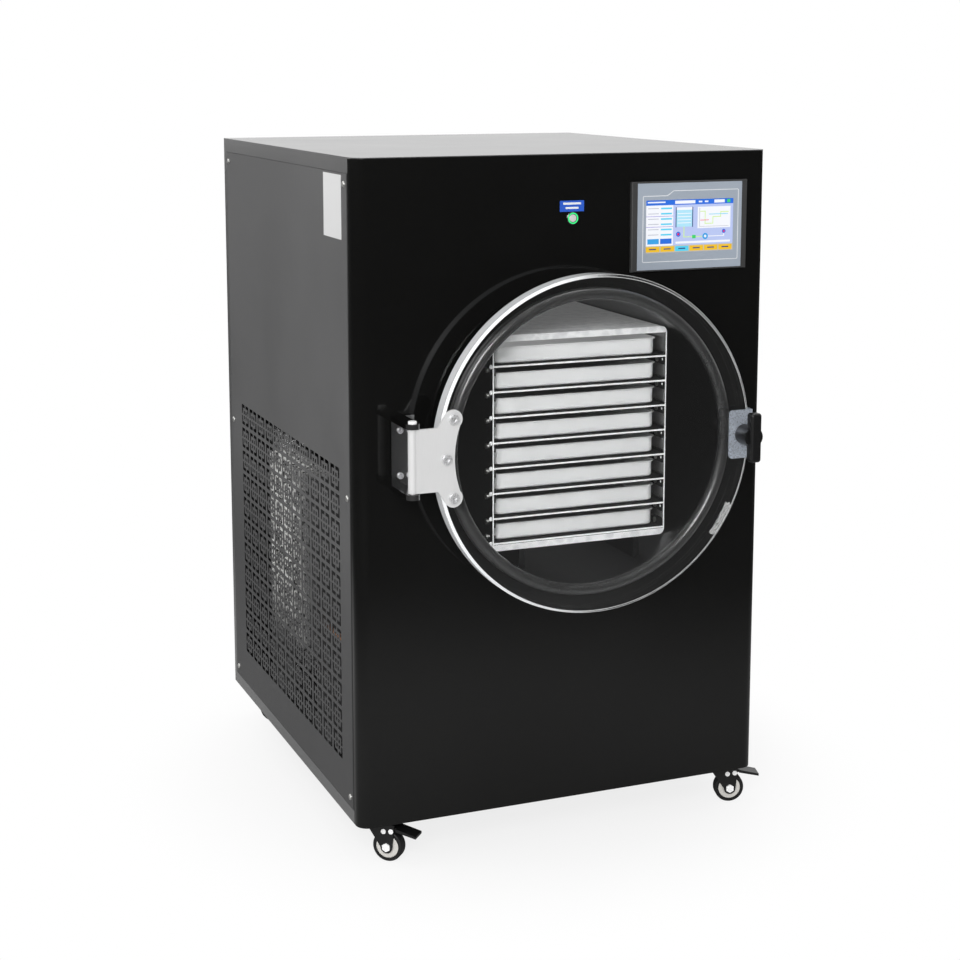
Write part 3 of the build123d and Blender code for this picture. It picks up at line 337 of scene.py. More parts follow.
def ramp(tree, value, start, end, low=0.0, high=1.0):
    """A smooth change from one value to another between two places."""
    return node(
        tree, "MapRange", value, start, end, low, high, interpolation_type="SMOOTHSTEP"
    ).outputs["Result"]


def object_place(tree):
    """A point's place in the object's space."""
    return node(tree, "TexCoord").outputs["Object"]


def object_axes(tree):
    """A point's place in the object's space, axis by axis."""
    return node(tree, "SeparateXYZ", object_place(tree)).outputs


def new_pattern(name, inputs):
    """A node group with number inputs, its given values and a point's place; it puts out Mask and Height."""
    group = bpy.data.node_groups.new(name, "ShaderNodeTree")
    for socket, value in inputs.items():
        made = group.interface.new_socket(name=socket, in_out="INPUT", socket_type="NodeSocketFloat")
        made.default_value = value
    for socket in ("Mask", "Height"):
        group.interface.new_socket(name=socket, in_out="OUTPUT", socket_type="NodeSocketFloat")
    return group, group.nodes.new("NodeGroupInput").outputs, object_place(group)


def end_pattern(group, mask, height):
    """Gives a group its two outputs."""
    end = group.nodes.new("NodeGroupOutput")
    end.location = (NODE_STEP * len(group.nodes), 0)
    feed(group, end.inputs["Mask"], mask)
    feed(group, end.inputs["Height"], height)
    return group


def coat_grain():
    """Fine orange-peel grain of a powder coat with faint clouding."""
    group, given, place = new_pattern("Coat grain", {"Grain": 900.0, "Clouds": 5.0})
    fine = node(group, "TexNoise", Vector=place, Scale=given["Grain"], Detail=2.0, Roughness=0.6)
    broad = node(group, "TexNoise", Vector=place, Scale=given["Clouds"], Detail=3.0, Roughness=0.55)
    clouds = reckon(group, "MULTIPLY", broad.outputs["Fac"], 0.55)
    mask = reckon(group, "MULTIPLY_ADD", fine.outputs["Fac"], 0.45, clouds)
    return end_pattern(group, mask, fine.outputs["Fac"])


def brushed_lines():
    """Fine parallel lines of brushed or rolled metal; each axis has its own fineness."""
    lines = {"Fine X": 900.0, "Fine Y": 900.0, "Fine Z": 900.0, "Clouds": 6.0}
    group, given, place = new_pattern("Brushed lines", lines)
    fineness = node(group, "CombineXYZ", *(given["Fine " + axis] for axis in "XYZ")).outputs[0]
    scaled = node(group, "VectorMath", place, fineness, operation="MULTIPLY").outputs[0]
    fine = node(group, "TexNoise", Vector=scaled, Scale=1.0, Detail=3.0, Roughness=0.65).outputs["Fac"]
    broad = node(group, "TexNoise", Vector=place, Scale=given["Clouds"], Detail=2.0).outputs["Fac"]
    mask = node(group, "Mix", data_type="FLOAT", Factor=0.35, A=fine, B=broad).outputs["Result"]
    return end_pattern(group, mask, fine)


def foil_crinkle():
    """Creases of foil tape pressed on by hand."""
    group, given, place = new_pattern("Foil crinkle", {"Creases": 60.0, "Wander": 0.35})
    wander = node(group, "TexNoise", Vector=place, Scale=22.0, Detail=3.0).outputs["Color"]
    slow = reckon(group, "MULTIPLY", given["Wander"], 0.05)
    shift = node(group, "VectorMath", wander, operation="SCALE", Scale=slow).outputs[0]
    moved = node(group, "VectorMath", place, shift, operation="ADD").outputs[0]
    creases = node(group, "TexVoronoi", feature="F1", Vector=moved, Scale=given["Creases"])
    return end_pattern(group, creases.outputs["Distance"], creases.outputs["Distance"])


def foam_cells():
    """Open cells of sprayed or moulded foam."""
    group, given, place = new_pattern("Foam cells", {"Cells": 420.0, "Lumps": 14.0})
    cells = node(group, "TexVoronoi", Vector=place, Scale=given["Cells"]).outputs["Distance"]
    lumps = node(group, "TexNoise", Vector=place, Scale=given["Lumps"], Detail=4.0).outputs["Fac"]
    return end_pattern(group, lumps, reckon(group, "MULTIPLY_ADD", cells, 0.25, lumps))


def inside_shade_mask():
    """Marks where the cabinet's sheets get painted shade on their inner side: all that lies within four
    planes.
    """
    planes = {"Left": -0.3, "Right": 0.3, "Rear": 0.4, "Top": 1.1}
    group, given, place = new_pattern("Painted inside shade", planes)
    axes = node(group, "SeparateXYZ", place).outputs
    tests = (("Left", "X", "GREATER_THAN"), ("Right", "X", "LESS_THAN"), ("Rear", "Y", "LESS_THAN"),
             ("Top", "Z", "LESS_THAN"))
    within = combined(group, "MULTIPLY", [
        reckon(group, operation, axes[axis], given[plane]) for plane, axis, operation in tests
    ])
    return end_pattern(group, within, within)


PATTERN_SPAN = (0.3, 0.7)
PATTERNS = {
    "Coat grain": coat_grain,
    "Brushed lines": brushed_lines,
    "Foil crinkle": foil_crinkle,
    "Foam cells": foam_cells,
    "Painted inside shade": inside_shade_mask,
}


def shader_of(made):
    """A material's main shader."""
    return made.node_tree.nodes["Principled BSDF"]


def finish(name, pattern, values, tones, roughness, relief, **shader_values):
    """A material whose colour, roughness and relief follow a pattern.

    tones are the dark and light colour, roughness the low and high value, and relief the bump's strength
    and depth.
    """
    made = bpy.data.materials.get(name)
    if made:
        return made
    made = bpy.data.materials.new(name)
    made.use_nodes = True
    tree = made.node_tree
    surface = node(tree, "Group")
    surface.node_tree = bpy.data.node_groups.get(pattern) or PATTERNS[pattern]()
    for socket, value in values.items():
        surface.inputs[socket].default_value = value
    mask = surface.outputs["Mask"]
    share = node(tree, "MapRange", mask, *PATTERN_SPAN, 0.0, 1.0).outputs["Result"]
    tint = node(tree, "Mix", data_type="RGBA", Factor=share, A=(*tones[0], 1), B=(*tones[1], 1))
    rough = node(tree, "MapRange", mask, *PATTERN_SPAN, *roughness)
    bump = node(tree, "Bump", Strength=relief[0], Distance=relief[1], Height=surface.outputs["Height"])
    outputs = {
        "Base Color": tint.outputs["Result"], "Roughness": rough.outputs["Result"],
        "Normal": bump.outputs["Normal"], **shader_values,
    }
    for socket, value in outputs.items():
        feed(tree, shader_of(made).inputs[socket.replace("_", " ")], value)
    return made


def shade(tone, share):
    """A colour made darker or lighter by a share."""
    return tuple(min(1.0, part * share) for part in tone)


def coat(name, tone, roughness=(0.42, 0.5), relief=(0.25, 0.0004), grain=900.0, spread=0.1, **values):
    """Painted or moulded surface with a fine grain."""
    tones = (shade(tone, 1 - spread), shade(tone, 1 + spread))
    return finish(name, "Coat grain", {"Grain": grain, "Clouds": 5.0}, tones, roughness, relief, **values)


def metal(name, tone, roughness, fine=(60.0, 1500.0, 1500.0), relief=(0.06, 0.0001), spread=0.06, **values):
    """Bare metal with fine lines along its least fine axis."""
    tones = (shade(tone, 1 - spread), shade(tone, 1 + spread))
    lines = {"Fine X": fine[0], "Fine Y": fine[1], "Fine Z": fine[2], "Clouds": 6.0}
    return finish(name, "Brushed lines", lines, tones, roughness, relief, Metallic=1.0, **values)


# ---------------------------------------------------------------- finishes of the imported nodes

DOOR_LETS_THROUGH = 0.85
# Depth inside the shell's outer faces where the painted shade of the cabinet's inside starts.
INSIDE_SHADE_DEPTH = 0.001
COLLAR_MARGIN = 0.006
# Painted shade: the sides' coat is darkened towards the foot, and a painted shadow darkens the seam at its
# front edge.
PAINTED_FOOT_SHADE_HEIGHT = 0.5
PAINTED_FOOT_SHADE_POWER = 3.0
SEAM_SHADOW_WIDTH = 0.005
EVEN_LINES = (300.0, 300.0, 300.0)


def acrylic_finish():
    """Clear acrylic that lets the light through to the rack, with a faint painted glow that lifts the door's
    dark tone.
    """
    # Painted light: a faint glow lifts the door, which is no lamp.
    made = finish(
        "clear acrylic", "Coat grain", {"Grain": 1400.0, "Clouds": 3.0},
        (colours().acrylic, colours().acrylic), (0.0, 0.015), (0.0, 0.0001),
        Transmission_Weight=1.0, IOR=1.45, Emission_Strength=0.003,
    )
    tree = made.node_tree
    shadow = node(tree, "LightPath").outputs["Is Shadow Ray"]
    feed(tree, shader_of(made).inputs["Alpha"], reckon(tree, "MULTIPLY_ADD", shadow, -DOOR_LETS_THROUGH, 1.0))
    return made


def label_finish():
    """White label film on the side, blue film over the switch."""
    made = coat("label film", (0.77, 0.77, 0.77), (0.3, 0.38), (0.05, 0.0001), 1200.0, 0.02)
    tree = made.node_tree
    past_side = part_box("labels")[0].x + 0.1
    on_front = reckon(tree, "GREATER_THAN", object_axes(tree)["X"], past_side)
    return two_toned(made, on_front, colours().label_blue)


def gloss_finish():
    """Gloss black coat of the front."""
    return coat(
        "gloss black", colours().front, (0.05, 0.1), (0.015, 0.0003), 300.0, 0.2,
        Specular_IOR_Level=0.35, Coat_Weight=0.0,
    )


def side_finish():
    """Textured grey coat of the sides, with painted shade that darkens it towards the foot and a painted
    shadow in the seam at the front.
    """
    made = bpy.data.materials.get("textured grey")
    if made:
        return made
    made = coat("textured grey", colours().side, (0.5, 0.6), (0.3, 0.0006), 1100.0, 0.12)
    low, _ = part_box("left_side_panel")
    tree = made.node_tree
    axes = object_axes(tree)
    height = ramp(tree, axes["Z"], low.z, low.z + PAINTED_FOOT_SHADE_HEIGHT)
    foot = reckon(tree, "SUBTRACT", 1.0, reckon(tree, "POWER", height, PAINTED_FOOT_SHADE_POWER))
    # Painted shade: the coat turns darker towards the foot.
    two_toned(made, foot, (0.055, 0.055, 0.056))
    # Painted shadow: a near-black strip stands for the shade in the seam gap at the front edge.
    return two_toned(made, reckon(tree, "LESS_THAN", axes["Y"], low.y + SEAM_SHADOW_WIDTH), (0.006, 0.006, 0.006))


def two_toned(made, mask, tone):
    """Gives a finish a second tone where a mask is 1."""
    tree = made.node_tree
    base = shader_of(made).inputs["Base Color"]
    mix = node(tree, "Mix", data_type="RGBA", Factor=mask, A=base.links[0].from_socket, B=(*tone, 1))
    feed(tree, base, mix.outputs["Result"])
    return made


def shaded_inside(made):
    """Paints shade on a sheet's finish on the side that faces into the cabinet, for the dark inside of the
    cabinet.
    """
    low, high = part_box("cabinet_shell")
    inside = node(made.node_tree, "Group")
    inside.node_tree = bpy.data.node_groups.get("Painted inside shade") or PATTERNS["Painted inside shade"]()
    planes = {
        "Left": low.x + INSIDE_SHADE_DEPTH, "Right": high.x - INSIDE_SHADE_DEPTH,
        "Rear": high.y - INSIDE_SHADE_DEPTH, "Top": high.z - INSIDE_SHADE_DEPTH,
    }
    for plane, value in planes.items():
        inside.inputs[plane].default_value = value
    # Painted shade: the inner side turns near black.
    return two_toned(made, inside.outputs["Mask"], (0.01, 0.01, 0.01))


def chamber_finish():
    """Steel of the chamber, painted dark for the shade inside it, and paler on its collar at the mouth."""
    # Painted shade: the steel's colour is near black and stands for the shade inside the chamber.
    made = metal("chamber steel", (0.06, 0.06, 0.062), (0.28, 0.36), (300.0, 60.0, 300.0), (0.02, 0.0001))
    tree = made.node_tree
    low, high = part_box("door_gasket")
    middle = (low + high) / 2
    flat = node(tree, "VectorMath", object_place(tree), (1, 0, 1), operation="MULTIPLY").outputs[0]
    away = node(tree, "VectorMath", flat, (middle.x, 0, middle.z), operation="DISTANCE").outputs["Value"]
    outer = reckon(tree, "GREATER_THAN", away, (high.x - low.x) / 2 - COLLAR_MARGIN)
    # The collar at the mouth gets a paler tone, out of the painted shade.
    return two_toned(made, outer, (0.3, 0.3, 0.3))


def rubber_finish():
    """Black rubber."""
    return coat("black rubber", colours().rubber, (0.5, 0.62), (0.1, 0.0003), 700.0, 0.25)


def steel_finish():
    """Satin stainless steel with fine upright lines."""
    upright = (1500.0, 1500.0, 60.0)
    made = metal("satin stainless", colours().stainless, (0.4, 0.5), upright, (0.04, 0.0001), 0.03)
    shader_of(made).inputs["Metallic"].default_value = 0.3
    return made


def shell_finish():
    """Coat of the shell, smoother than the side panels, so that the top carries a sheen."""
    # The shell's inner side gets the painted shade of the cabinet's inside.
    return shaded_inside(coat(
        "shell coat", colours().side, (0.28, 0.36), (0.1, 0.0004), 1100.0, 0.1,
        Coat_Weight=0.45, Coat_Roughness=0.16, Coat_IOR=1.5,
    ))


def bright_finish_with_painted_glare():
    """Bright rolled metal of the rack's lips and nuts, with a painted glare that makes it glow though it is
    no lamp.
    """
    made = metal("bright lip with painted glare", (0.97, 0.97, 0.97), (0.3, 0.4), EVEN_LINES, (0.02, 0.0001), 0.03)
    shader_of(made).inputs["Metallic"].default_value = 0.1
    # Painted glare: a faint glow lifts the metal where it lies in shade.
    shader_of(made).inputs["Emission Strength"].default_value = 0.12
    return made


def bolt_finish(name, tone):
    """Plated steel of the bolts, the screws and the latch plate."""
    made = metal(name, tone, (0.2, 0.35), EVEN_LINES, (0.05, 0.0002), 0.06)
    shader_of(made).inputs["Metallic"].default_value = 0.5
    return made


def condenser_finish():
    """Crinkled fin metal with painted glints that glow in the upper rear part that shows through the vent,
    and painted shade elsewhere.
    """
    made = finish(
        "fin metal", "Foil crinkle", {"Creases": 160.0, "Wander": 0.4},
        ((0.01, 0.01, 0.01), (1.0, 1.0, 0.98)), (0.3, 0.45), (0.5, 0.001),
        Metallic=0.5, Emission_Strength=0.25,
    )
    low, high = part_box("condenser")
    middle = (low + high) / 2
    tree = made.node_tree
    axes = object_axes(tree)
    # Painted shade: away from the upper rear part the fins are darkened.
    painted_shade_part = combined(tree, "MAXIMUM", [
        ramp(tree, axes[axis], value - 0.14, value + 0.04, 1.0, 0.0)
        for axis, value in (("Y", middle.y), ("Z", middle.z))
    ])
    two_toned(made, painted_shade_part, (0.06, 0.06, 0.06))
    shader = shader_of(made)
    # Painted light: the fins glow in their own colour, so their bright crinkles shine as glints though no
    # lamp falls on them.
    feed(tree, shader.inputs["Emission Color"], shader.inputs["Base Color"].links[0].from_socket)
    return made


def polished_finish():
    """Polished steel."""
    return metal("polished steel", colours().polished, (0.1, 0.2), EVEN_LINES, (0.03, 0.0001))


def black_plastic_finish():
    """Moulded black plastic."""
    return coat("black plastic", (0.007, 0.007, 0.0072), (0.3, 0.4), (0.1, 0.0003), 800.0, 0.2)


def node_finishes():
    """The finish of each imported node."""
    grey = side_finish()
    steel = steel_finish()
    bright = polished_finish()
    rubber = rubber_finish()
    plastic = black_plastic_finish()
    zinc = metal("zinc steel", (0.62, 0.62, 0.6), (0.35, 0.5), (400.0, 400.0, 400.0))
    tray_metal = metal("tray metal", colours().tray, (0.34, 0.44), (60.0, 1500.0, 1500.0), spread=0.03)
    shader_of(tray_metal).inputs["Metallic"].default_value = 0.0
    shelf_metal = metal("shelf metal", (0.4, 0.4, 0.4), (0.2, 0.28), (60.0, 1500.0, 1500.0))
    # Painted light: the foil tape glows faintly, though it is no lamp.
    foil = finish(
        "foil tape", "Foil crinkle", {"Creases": 70.0, "Wander": 0.4},
        ((0.8, 0.8, 0.81), (1.0, 1.0, 1.0)), (0.3, 0.5), (0.5, 0.001), Metallic=0.15, Emission_Strength=0.1,
    )
    foam = finish(
        "black foam", "Foam cells", {"Cells": 420.0, "Lumps": 14.0},
        ((0.012, 0.012, 0.012), (0.03, 0.03, 0.03)), (0.8, 0.95), (0.5, 0.001),
    )
    copper = metal("copper tube", (0.72, 0.36, 0.2), (0.25, 0.4), (200.0, 200.0, 200.0))
    frame_grey = coat("display frame", colours().frame_plastic, (0.38, 0.46), (0.15, 0.0003), 900.0, 0.12)
    silver = coat(
        "display plate", colours().faceplate, (0.35, 0.45), (0.06, 0.0002), 1500.0, 0.04, Metallic=0.2,
    )
    # Painted shade: the shelves are near black and stand for the shade in the gaps between the trays.
    shelf_in_painted_shade = coat(
        "shelf in painted shade", (0.012, 0.012, 0.012), (0.7, 0.8), (0.1, 0.0002), 900.0, 0.1, Specular_IOR_Level=0.1,
    )
    glass = coat("screen glass", (0.03, 0.05, 0.12), (0.08, 0.12), (0.0, 0.0001), 500.0, 0.1)
    painted = coat("compressor coat", (0.02, 0.02, 0.022), (0.3, 0.4), (0.2, 0.0006), 400.0, 0.2)
    box_grey = coat("control box coat", (0.3, 0.31, 0.32), (0.45, 0.55), (0.2, 0.0004), 800.0, 0.06)
    return {
        "front_panel": gloss_finish(),
        "cabinet_shell": shell_finish(), "left_side_panel": grey, "right_side_panel": grey,
        # The rear panel's inner side gets the painted shade of the cabinet's inside.
        "rear_panel": shaded_inside(coat("rear coat", colours().side, (0.5, 0.6), (0.3, 0.0006), 1100.0, 0.12)),
        "base_frame": coat("frame coat", (0.02, 0.02, 0.02), (0.45, 0.55), (0.2, 0.0004), 900.0, 0.12),
        "panel_screws": zinc, "rack_screws": zinc, "hinge_bolts": bolt_finish("bolt steel", (0.6, 0.6, 0.62)),
        "leaf_screws": bolt_finish("screw steel", (0.7, 0.7, 0.71)),
        "chamber": chamber_finish(), "cooling_coil": copper, "refrigerant_pipes": copper,
        "chamber_insulation": foam, "door_gasket": rubber,
        "rack_sides": shelf_metal, "shelves": shelf_in_painted_shade, "rack_end_plates": foil,
        "compressor": painted, "compressor_mounts": rubber,
        "condenser": condenser_finish(),
        "fan_motor": painted, "fan_blade": plastic,
        "control_box": box_grey,
        "display_housing": frame_grey, "display_faceplate": silver, "display_screen": glass,
        "switch_body": bright, "power_button": steel, "labels": label_finish(),
        "hinge_bracket": bright, "hinge_pin": bright_finish_with_painted_glare(), "hinge_leaf": steel,
        "door": acrylic_finish(),
        "latch_plate": bolt_finish("latch steel", (0.55, 0.6, 0.68)),
        "latch_handle": plastic, "latch_keeper": bright,
        "vacuum_port": steel, "power_inlet": plastic,
        "caster_plates": plastic,
        **{f"tray_{number}": tray_metal for number in range(1, 9)},
        **{f"caster_fork_{number}": plastic for number in range(1, 5)},
        **{f"caster_wheel_{number}": rubber for number in range(1, 5)},
        **{f"caster_brake_{number}": plastic for number in range(1, 5)},
    }


class FREEZEDRYER_OT_finishes(bpy.types.Operator):
    """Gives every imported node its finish"""

    bl_idname = "freeze_dryer.finishes"
    bl_label = "Finishes"

    def execute(self, context):
        table = node_finishes()
        missing = set(frame["nodes"]) - set(table)
        if missing:
            raise RuntimeError(f"no finish for {sorted(missing)}")
        for name, material in table.items():
            for slot in frame["nodes"][name].material_slots:
                slot.material = material
        return {"FINISHED"}


# ---------------------------------------------------------------- vented side panels and the vessel behind

# The middle of the vessel's foot, and the turns of foil round it.
VESSEL_FOOT = (-0.272, 0.318, 0.103)
VESSEL_TURNS = 14
TILE_ACROSS = (3.75, 8.0, 5.5, 7.5, 4.5, 7.5, 5.5, 8.0, 3.75)
TILE_UP = (3.0, 6.2, 4.6, 6.2, 3.5, 6.2, 4.6, 6.2, 3.0)
OPEN_CELLS = {
    *((1, row) for row in (1, 2, 3, 5, 6, 7)), *((7, row) for row in (1, 2, 3, 5, 6, 7)),
    *((column, 1) for column in (2, 3, 5, 6)), *((column, 7) for column in (2, 3, 5, 6)),
    (3, 3), (5, 3), (3, 5), (5, 5),
}


def running(steps, total):
    """Cell borders of a row of steps, scaled to a total length."""
    borders = [0.0]
    for step in steps:
        borders.append(borders[-1] + step)
    return [border * total / borders[-1] for border in borders]


def cell_of(value, borders):
    """The index of the cell that holds a value."""
    return sum(value > border for border in borders[1:-1])


def vent_tile(name, x, y_start, z_start, width, height):
    """One tile of the vent: four bent slots round four small squares."""
    centre = (x, y_start + width / 2, z_start + height / 2)
    piece = start_sheet(name, centre, width, height, turn=(math.pi / 2, 0, -math.pi / 2))
    across = running(TILE_ACROSS, width)
    up = running(TILE_UP, height)
    edit(piece, "VERT", everything=True)
    for border in across[1:-1]:
        cut((x, y_start + border, 0), (0, 1, 0))
    for border in up[1:-1]:
        cut((x, 0, z_start + border), (0, 0, 1))
    corners = [(y_start + a, z_start + u) for a in (across[1], across[-2]) for u in (up[1], up[-2])]

    def at_corner(point):
        return any(abs(point.y - y) < TOUCH and abs(point.z - z) < TOUCH for y, z in corners)

    pick(piece, "VERT", at_corner)
    bpy.ops.mesh.bevel(affect="VERTICES", offset=sizes().slot_corner, segments=1)
    bpy.ops.mesh.select_mode(type="FACE")
    mesh = bmesh.from_edit_mesh(piece.data)
    bpy.ops.mesh.select_all(action="DESELECT")
    for face in mesh.faces:
        middle = face.calc_center_median()
        cell = (cell_of(middle.y - y_start, across), cell_of(middle.z - z_start, up))
        small = any(abs(middle.y - y) < 0.001 and abs(middle.z - z) < 0.001 for y, z in corners)
        face.select = cell in OPEN_CELLS and not small
    bmesh.update_edit_mesh(piece.data)
    bpy.ops.mesh.delete(type="FACE")
    bpy.ops.object.mode_set(mode="OBJECT")
    return piece


def stretch_border(piece, axis, value, limit):
    """Extrudes the sheet's straight border at a place out to a limit."""
    move = Vector()
    move[axis] = limit - value
    bpy.ops.mesh.select_mode(type="EDGE")
    pick(piece, "EDGE", lambda point: abs(point[axis] - value) < TOUCH)
    bpy.ops.mesh.extrude_region_move(TRANSFORM_OT_translate={"value": move})


def vented_panel():
    """The left side panel with its vent."""
    low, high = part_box("left_side_panel")
    given = sizes()
    y_start, y_end = low.y + given.vent_front, high.y - given.vent_rear
    z_start = low.z + given.vent_bottom
    z_end = z_start + given.vent_height
    width = (y_end - y_start) / given.vent_columns
    height = given.vent_height / given.vent_rows
    piece = vent_tile("vented_panel_left", low.x, y_start, z_start, width, height)
    for count, step in ((given.vent_columns, (0, width, 0)), (given.vent_rows, (0, 0, height))):
        modify(
            piece, "ARRAY", count=count, use_relative_offset=False, use_constant_offset=True,
            constant_offset_displace=step, use_merge_vertices=True, merge_threshold=2 * TOUCH,
        )
    edit(piece, "EDGE")
    borders = ((1, y_start, low.y), (1, y_end, high.y), (2, z_start, low.z), (2, z_end, high.z))
    for axis, value, limit in borders:
        stretch_border(piece, axis, value, limit)
    outward(piece)
    edit(piece, "FACE", everything=True)
    mesh = bmesh.from_edit_mesh(piece.data)
    if sum(face.normal.x for face in mesh.faces) > 0:
        bpy.ops.mesh.flip_normals()
    bpy.ops.object.mode_set(mode="OBJECT")
    modify(piece, "SOLIDIFY", thickness=given.vent_sheet, offset=-1.0, use_even_offset=True)
    edit(piece, "FACE")
    mesh = bmesh.from_edit_mesh(piece.data)
    for face in mesh.faces:
        middle = face.calc_center_median()
        in_vent = y_start < middle.y < y_end and z_start < middle.z < z_end
        # The slot walls and the inner side of the vent take the second finish, a painted shade.
        face.material_index = int(in_vent and face.normal.x > -0.5)
        face.select = face.normal.x > 0.5 and not in_vent
    bmesh.update_edit_mesh(piece.data)
    inwards = high.x - low.x - given.vent_sheet
    bpy.ops.mesh.extrude_region_move(TRANSFORM_OT_translate={"value": (inwards, 0, 0)})
    bpy.ops.object.mode_set(mode="OBJECT")
    return piece


class FREEZEDRYER_OT_vented_panels(bpy.types.Operator):
    """Builds both side panels with their slotted vents"""

    bl_idname = "freeze_dryer.vented_panels"
    bl_label = "Vented side panels"

    def execute(self, context):
        left = vented_panel()
        right = twin(left, "vented_panel_right")
        middle = (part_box("left_side_panel")[0].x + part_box("right_side_panel")[1].x) / 2
        right.location.x = 2 * middle
        right.scale.x = -1
        activate(right)
        bpy.ops.object.transform_apply(location=True, rotation=True, scale=True)
        edit(right, "FACE", everything=True)
        bpy.ops.mesh.normals_make_consistent(inside=False)
        bpy.ops.object.mode_set(mode="OBJECT")
        # Painted shade: the vent's slot walls and inner side are near black, for the shade inside the slots.
        vent_inner_shade = coat("vent inner shade", (0.012, 0.012, 0.012), (0.6, 0.7), (0.1, 0.0002), 1100.0, 0.2)
        for piece, node_name in ((left, "left_side_panel"), (right, "right_side_panel")):
            finish_piece(piece, "cabinet", "textured_grey", side_finish(), vent_inner_shade)
            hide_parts(node_name)
        return {"FINISHED"}


class FREEZEDRYER_OT_foil_wrapped_vessel(bpy.types.Operator):
    """Builds the upright vessel in foil that shows behind the left vent"""

    bl_idname = "freeze_dryer.foil_wrapped_vessel"
    bl_label = "Foil-wrapped vessel"

    def execute(self, context):
        given = sizes()
        radius, top = given.vessel_radius, given.vessel_top
        x, y, bottom = VESSEL_FOOT
        deselect()
        bpy.ops.mesh.primitive_cylinder_add(
            vertices=48, radius=radius, depth=top - bottom, location=(x, y, (top + bottom) / 2)
        )
        piece = settle("foil_wrapped_vessel")
        near = 10 * TOUCH
        edit(piece, "FACE")
        pick(piece, "FACE", lambda point: point.z > top - near or point.z < bottom + near)
        bpy.ops.mesh.inset(thickness=radius * 0.6)
        pick(piece, "FACE", lambda point: point.z > top - near and abs(point.x - x) < 0.001)
        bpy.ops.transform.translate(value=(0, 0, given.vessel_crown))
        edit(piece, "EDGE", everything=True)
        for turn in range(1, VESSEL_TURNS):
            cut((x, y, bottom + turn * (top - bottom) / VESSEL_TURNS), (0.12, 0.0, 1.0))
        bpy.ops.object.mode_set(mode="OBJECT")
        modify(piece, "BEVEL", width=0.0015, segments=1, limit_method="ANGLE", angle_limit=SHARP)
        # Painted shade and glints: the foil is dark in its hollows and bright on its crinkles.
        wrap = finish(
            "vessel foil", "Foil crinkle", {"Creases": 90.0, "Wander": 0.9},
            ((0.12, 0.12, 0.12), (0.97, 0.97, 0.98)), (0.15, 0.35), (1.0, 0.006), Metallic=0.85,
        )
        finish_piece(piece, "cabinet", "foil", wrap)
        return {"FINISHED"}


# ---------------------------------------------------------------- display

# Each area: colour, left, top, right and bottom as shares of the screen, and its layer.
SCREEN_AREAS = (
    ("header blue", 0.0, 0.0, 1.0, 0.10, 1), ("field lilac", 0.31, 0.10, 1.0, 0.87, 1),
    ("paper white", 0.0, 0.10, 0.31, 0.87, 1), ("button gap", 0.0, 0.87, 1.0, 1.0, 1),
    ("paper white", 0.33, 0.02, 0.56, 0.08, 2), ("paper white", 0.60, 0.035, 0.64, 0.065, 2),
    ("paper white", 0.67, 0.035, 0.71, 0.065, 2), ("paper white", 0.02, 0.03, 0.22, 0.055, 2),
    ("valve green", 0.93, 0.02, 0.965, 0.08, 2), ("paper white", 0.78, 0.02, 0.90, 0.08, 2),
    *(("faint grey", 0.025, top, 0.145, top + 0.014, 2) for top in (0.15, 0.25, 0.35, 0.45, 0.55, 0.65)),
    *(("water cyan", 0.17, top, 0.295, top + 0.03, 2) for top in (0.145, 0.245, 0.345, 0.445, 0.545, 0.645)),
    *(("violet line", 0.0, top, 0.31, top + 0.008, 2) for top in (0.305, 0.505)),
    ("sky blue", 0.02, 0.735, 0.15, 0.835, 2), ("header blue", 0.165, 0.735, 0.295, 0.835, 2),
    # The chamber's sign with its shelves, at the left of the field
    ("paper white", 0.345, 0.15, 0.53, 0.20, 2), ("pale cyan", 0.345, 0.20, 0.53, 0.52, 2),
    *(("paper white", 0.36, top, 0.515, top + 0.014, 3) for top in (0.26, 0.32, 0.38, 0.44)),
    ("navy mark", 0.338, 0.145, 0.348, 0.53, 3), ("navy mark", 0.527, 0.145, 0.537, 0.53, 3),
    # The plan of the run: a stepped line over a white chart
    ("paper white", 0.59, 0.15, 0.97, 0.56, 2), ("faint grey", 0.61, 0.17, 0.616, 0.53, 3),
    ("faint grey", 0.61, 0.524, 0.95, 0.532, 3),
    ("pipe lime", 0.62, 0.23, 0.68, 0.245, 3), ("pipe lime", 0.672, 0.23, 0.68, 0.48, 3),
    ("pipe lime", 0.672, 0.465, 0.77, 0.48, 3), ("pipe lime", 0.762, 0.34, 0.77, 0.48, 3),
    ("pipe lime", 0.762, 0.34, 0.86, 0.355, 3), ("pipe lime", 0.852, 0.25, 0.86, 0.355, 3),
    ("pipe lime", 0.852, 0.25, 0.95, 0.265, 3), ("signal red", 0.62, 0.40, 0.72, 0.412, 4),
    ("water cyan", 0.72, 0.29, 0.94, 0.302, 4),
    # Pipes from the chamber to the pump and back
    ("pipe lime", 0.43, 0.52, 0.44, 0.72, 3), ("pipe lime", 0.43, 0.71, 0.66, 0.725, 3),
    ("paper white", 0.70, 0.71, 0.90, 0.725, 3), ("paper white", 0.89, 0.60, 0.90, 0.725, 3),
    ("valve green", 0.53, 0.685, 0.57, 0.75, 4), ("paper white", 0.34, 0.80, 0.97, 0.84, 2),
    *(("button yellow", 0.004 + 0.1665 * i, 0.885, 0.158 + 0.1665 * i, 0.985, 2) for i in (0, 1, 3, 4, 5)),
    ("water cyan", 0.337, 0.885, 0.491, 0.985, 2),
    *(("navy mark", 0.04 + 0.1665 * i, 0.922, 0.12 + 0.1665 * i, 0.944, 3) for i in range(6)),
)
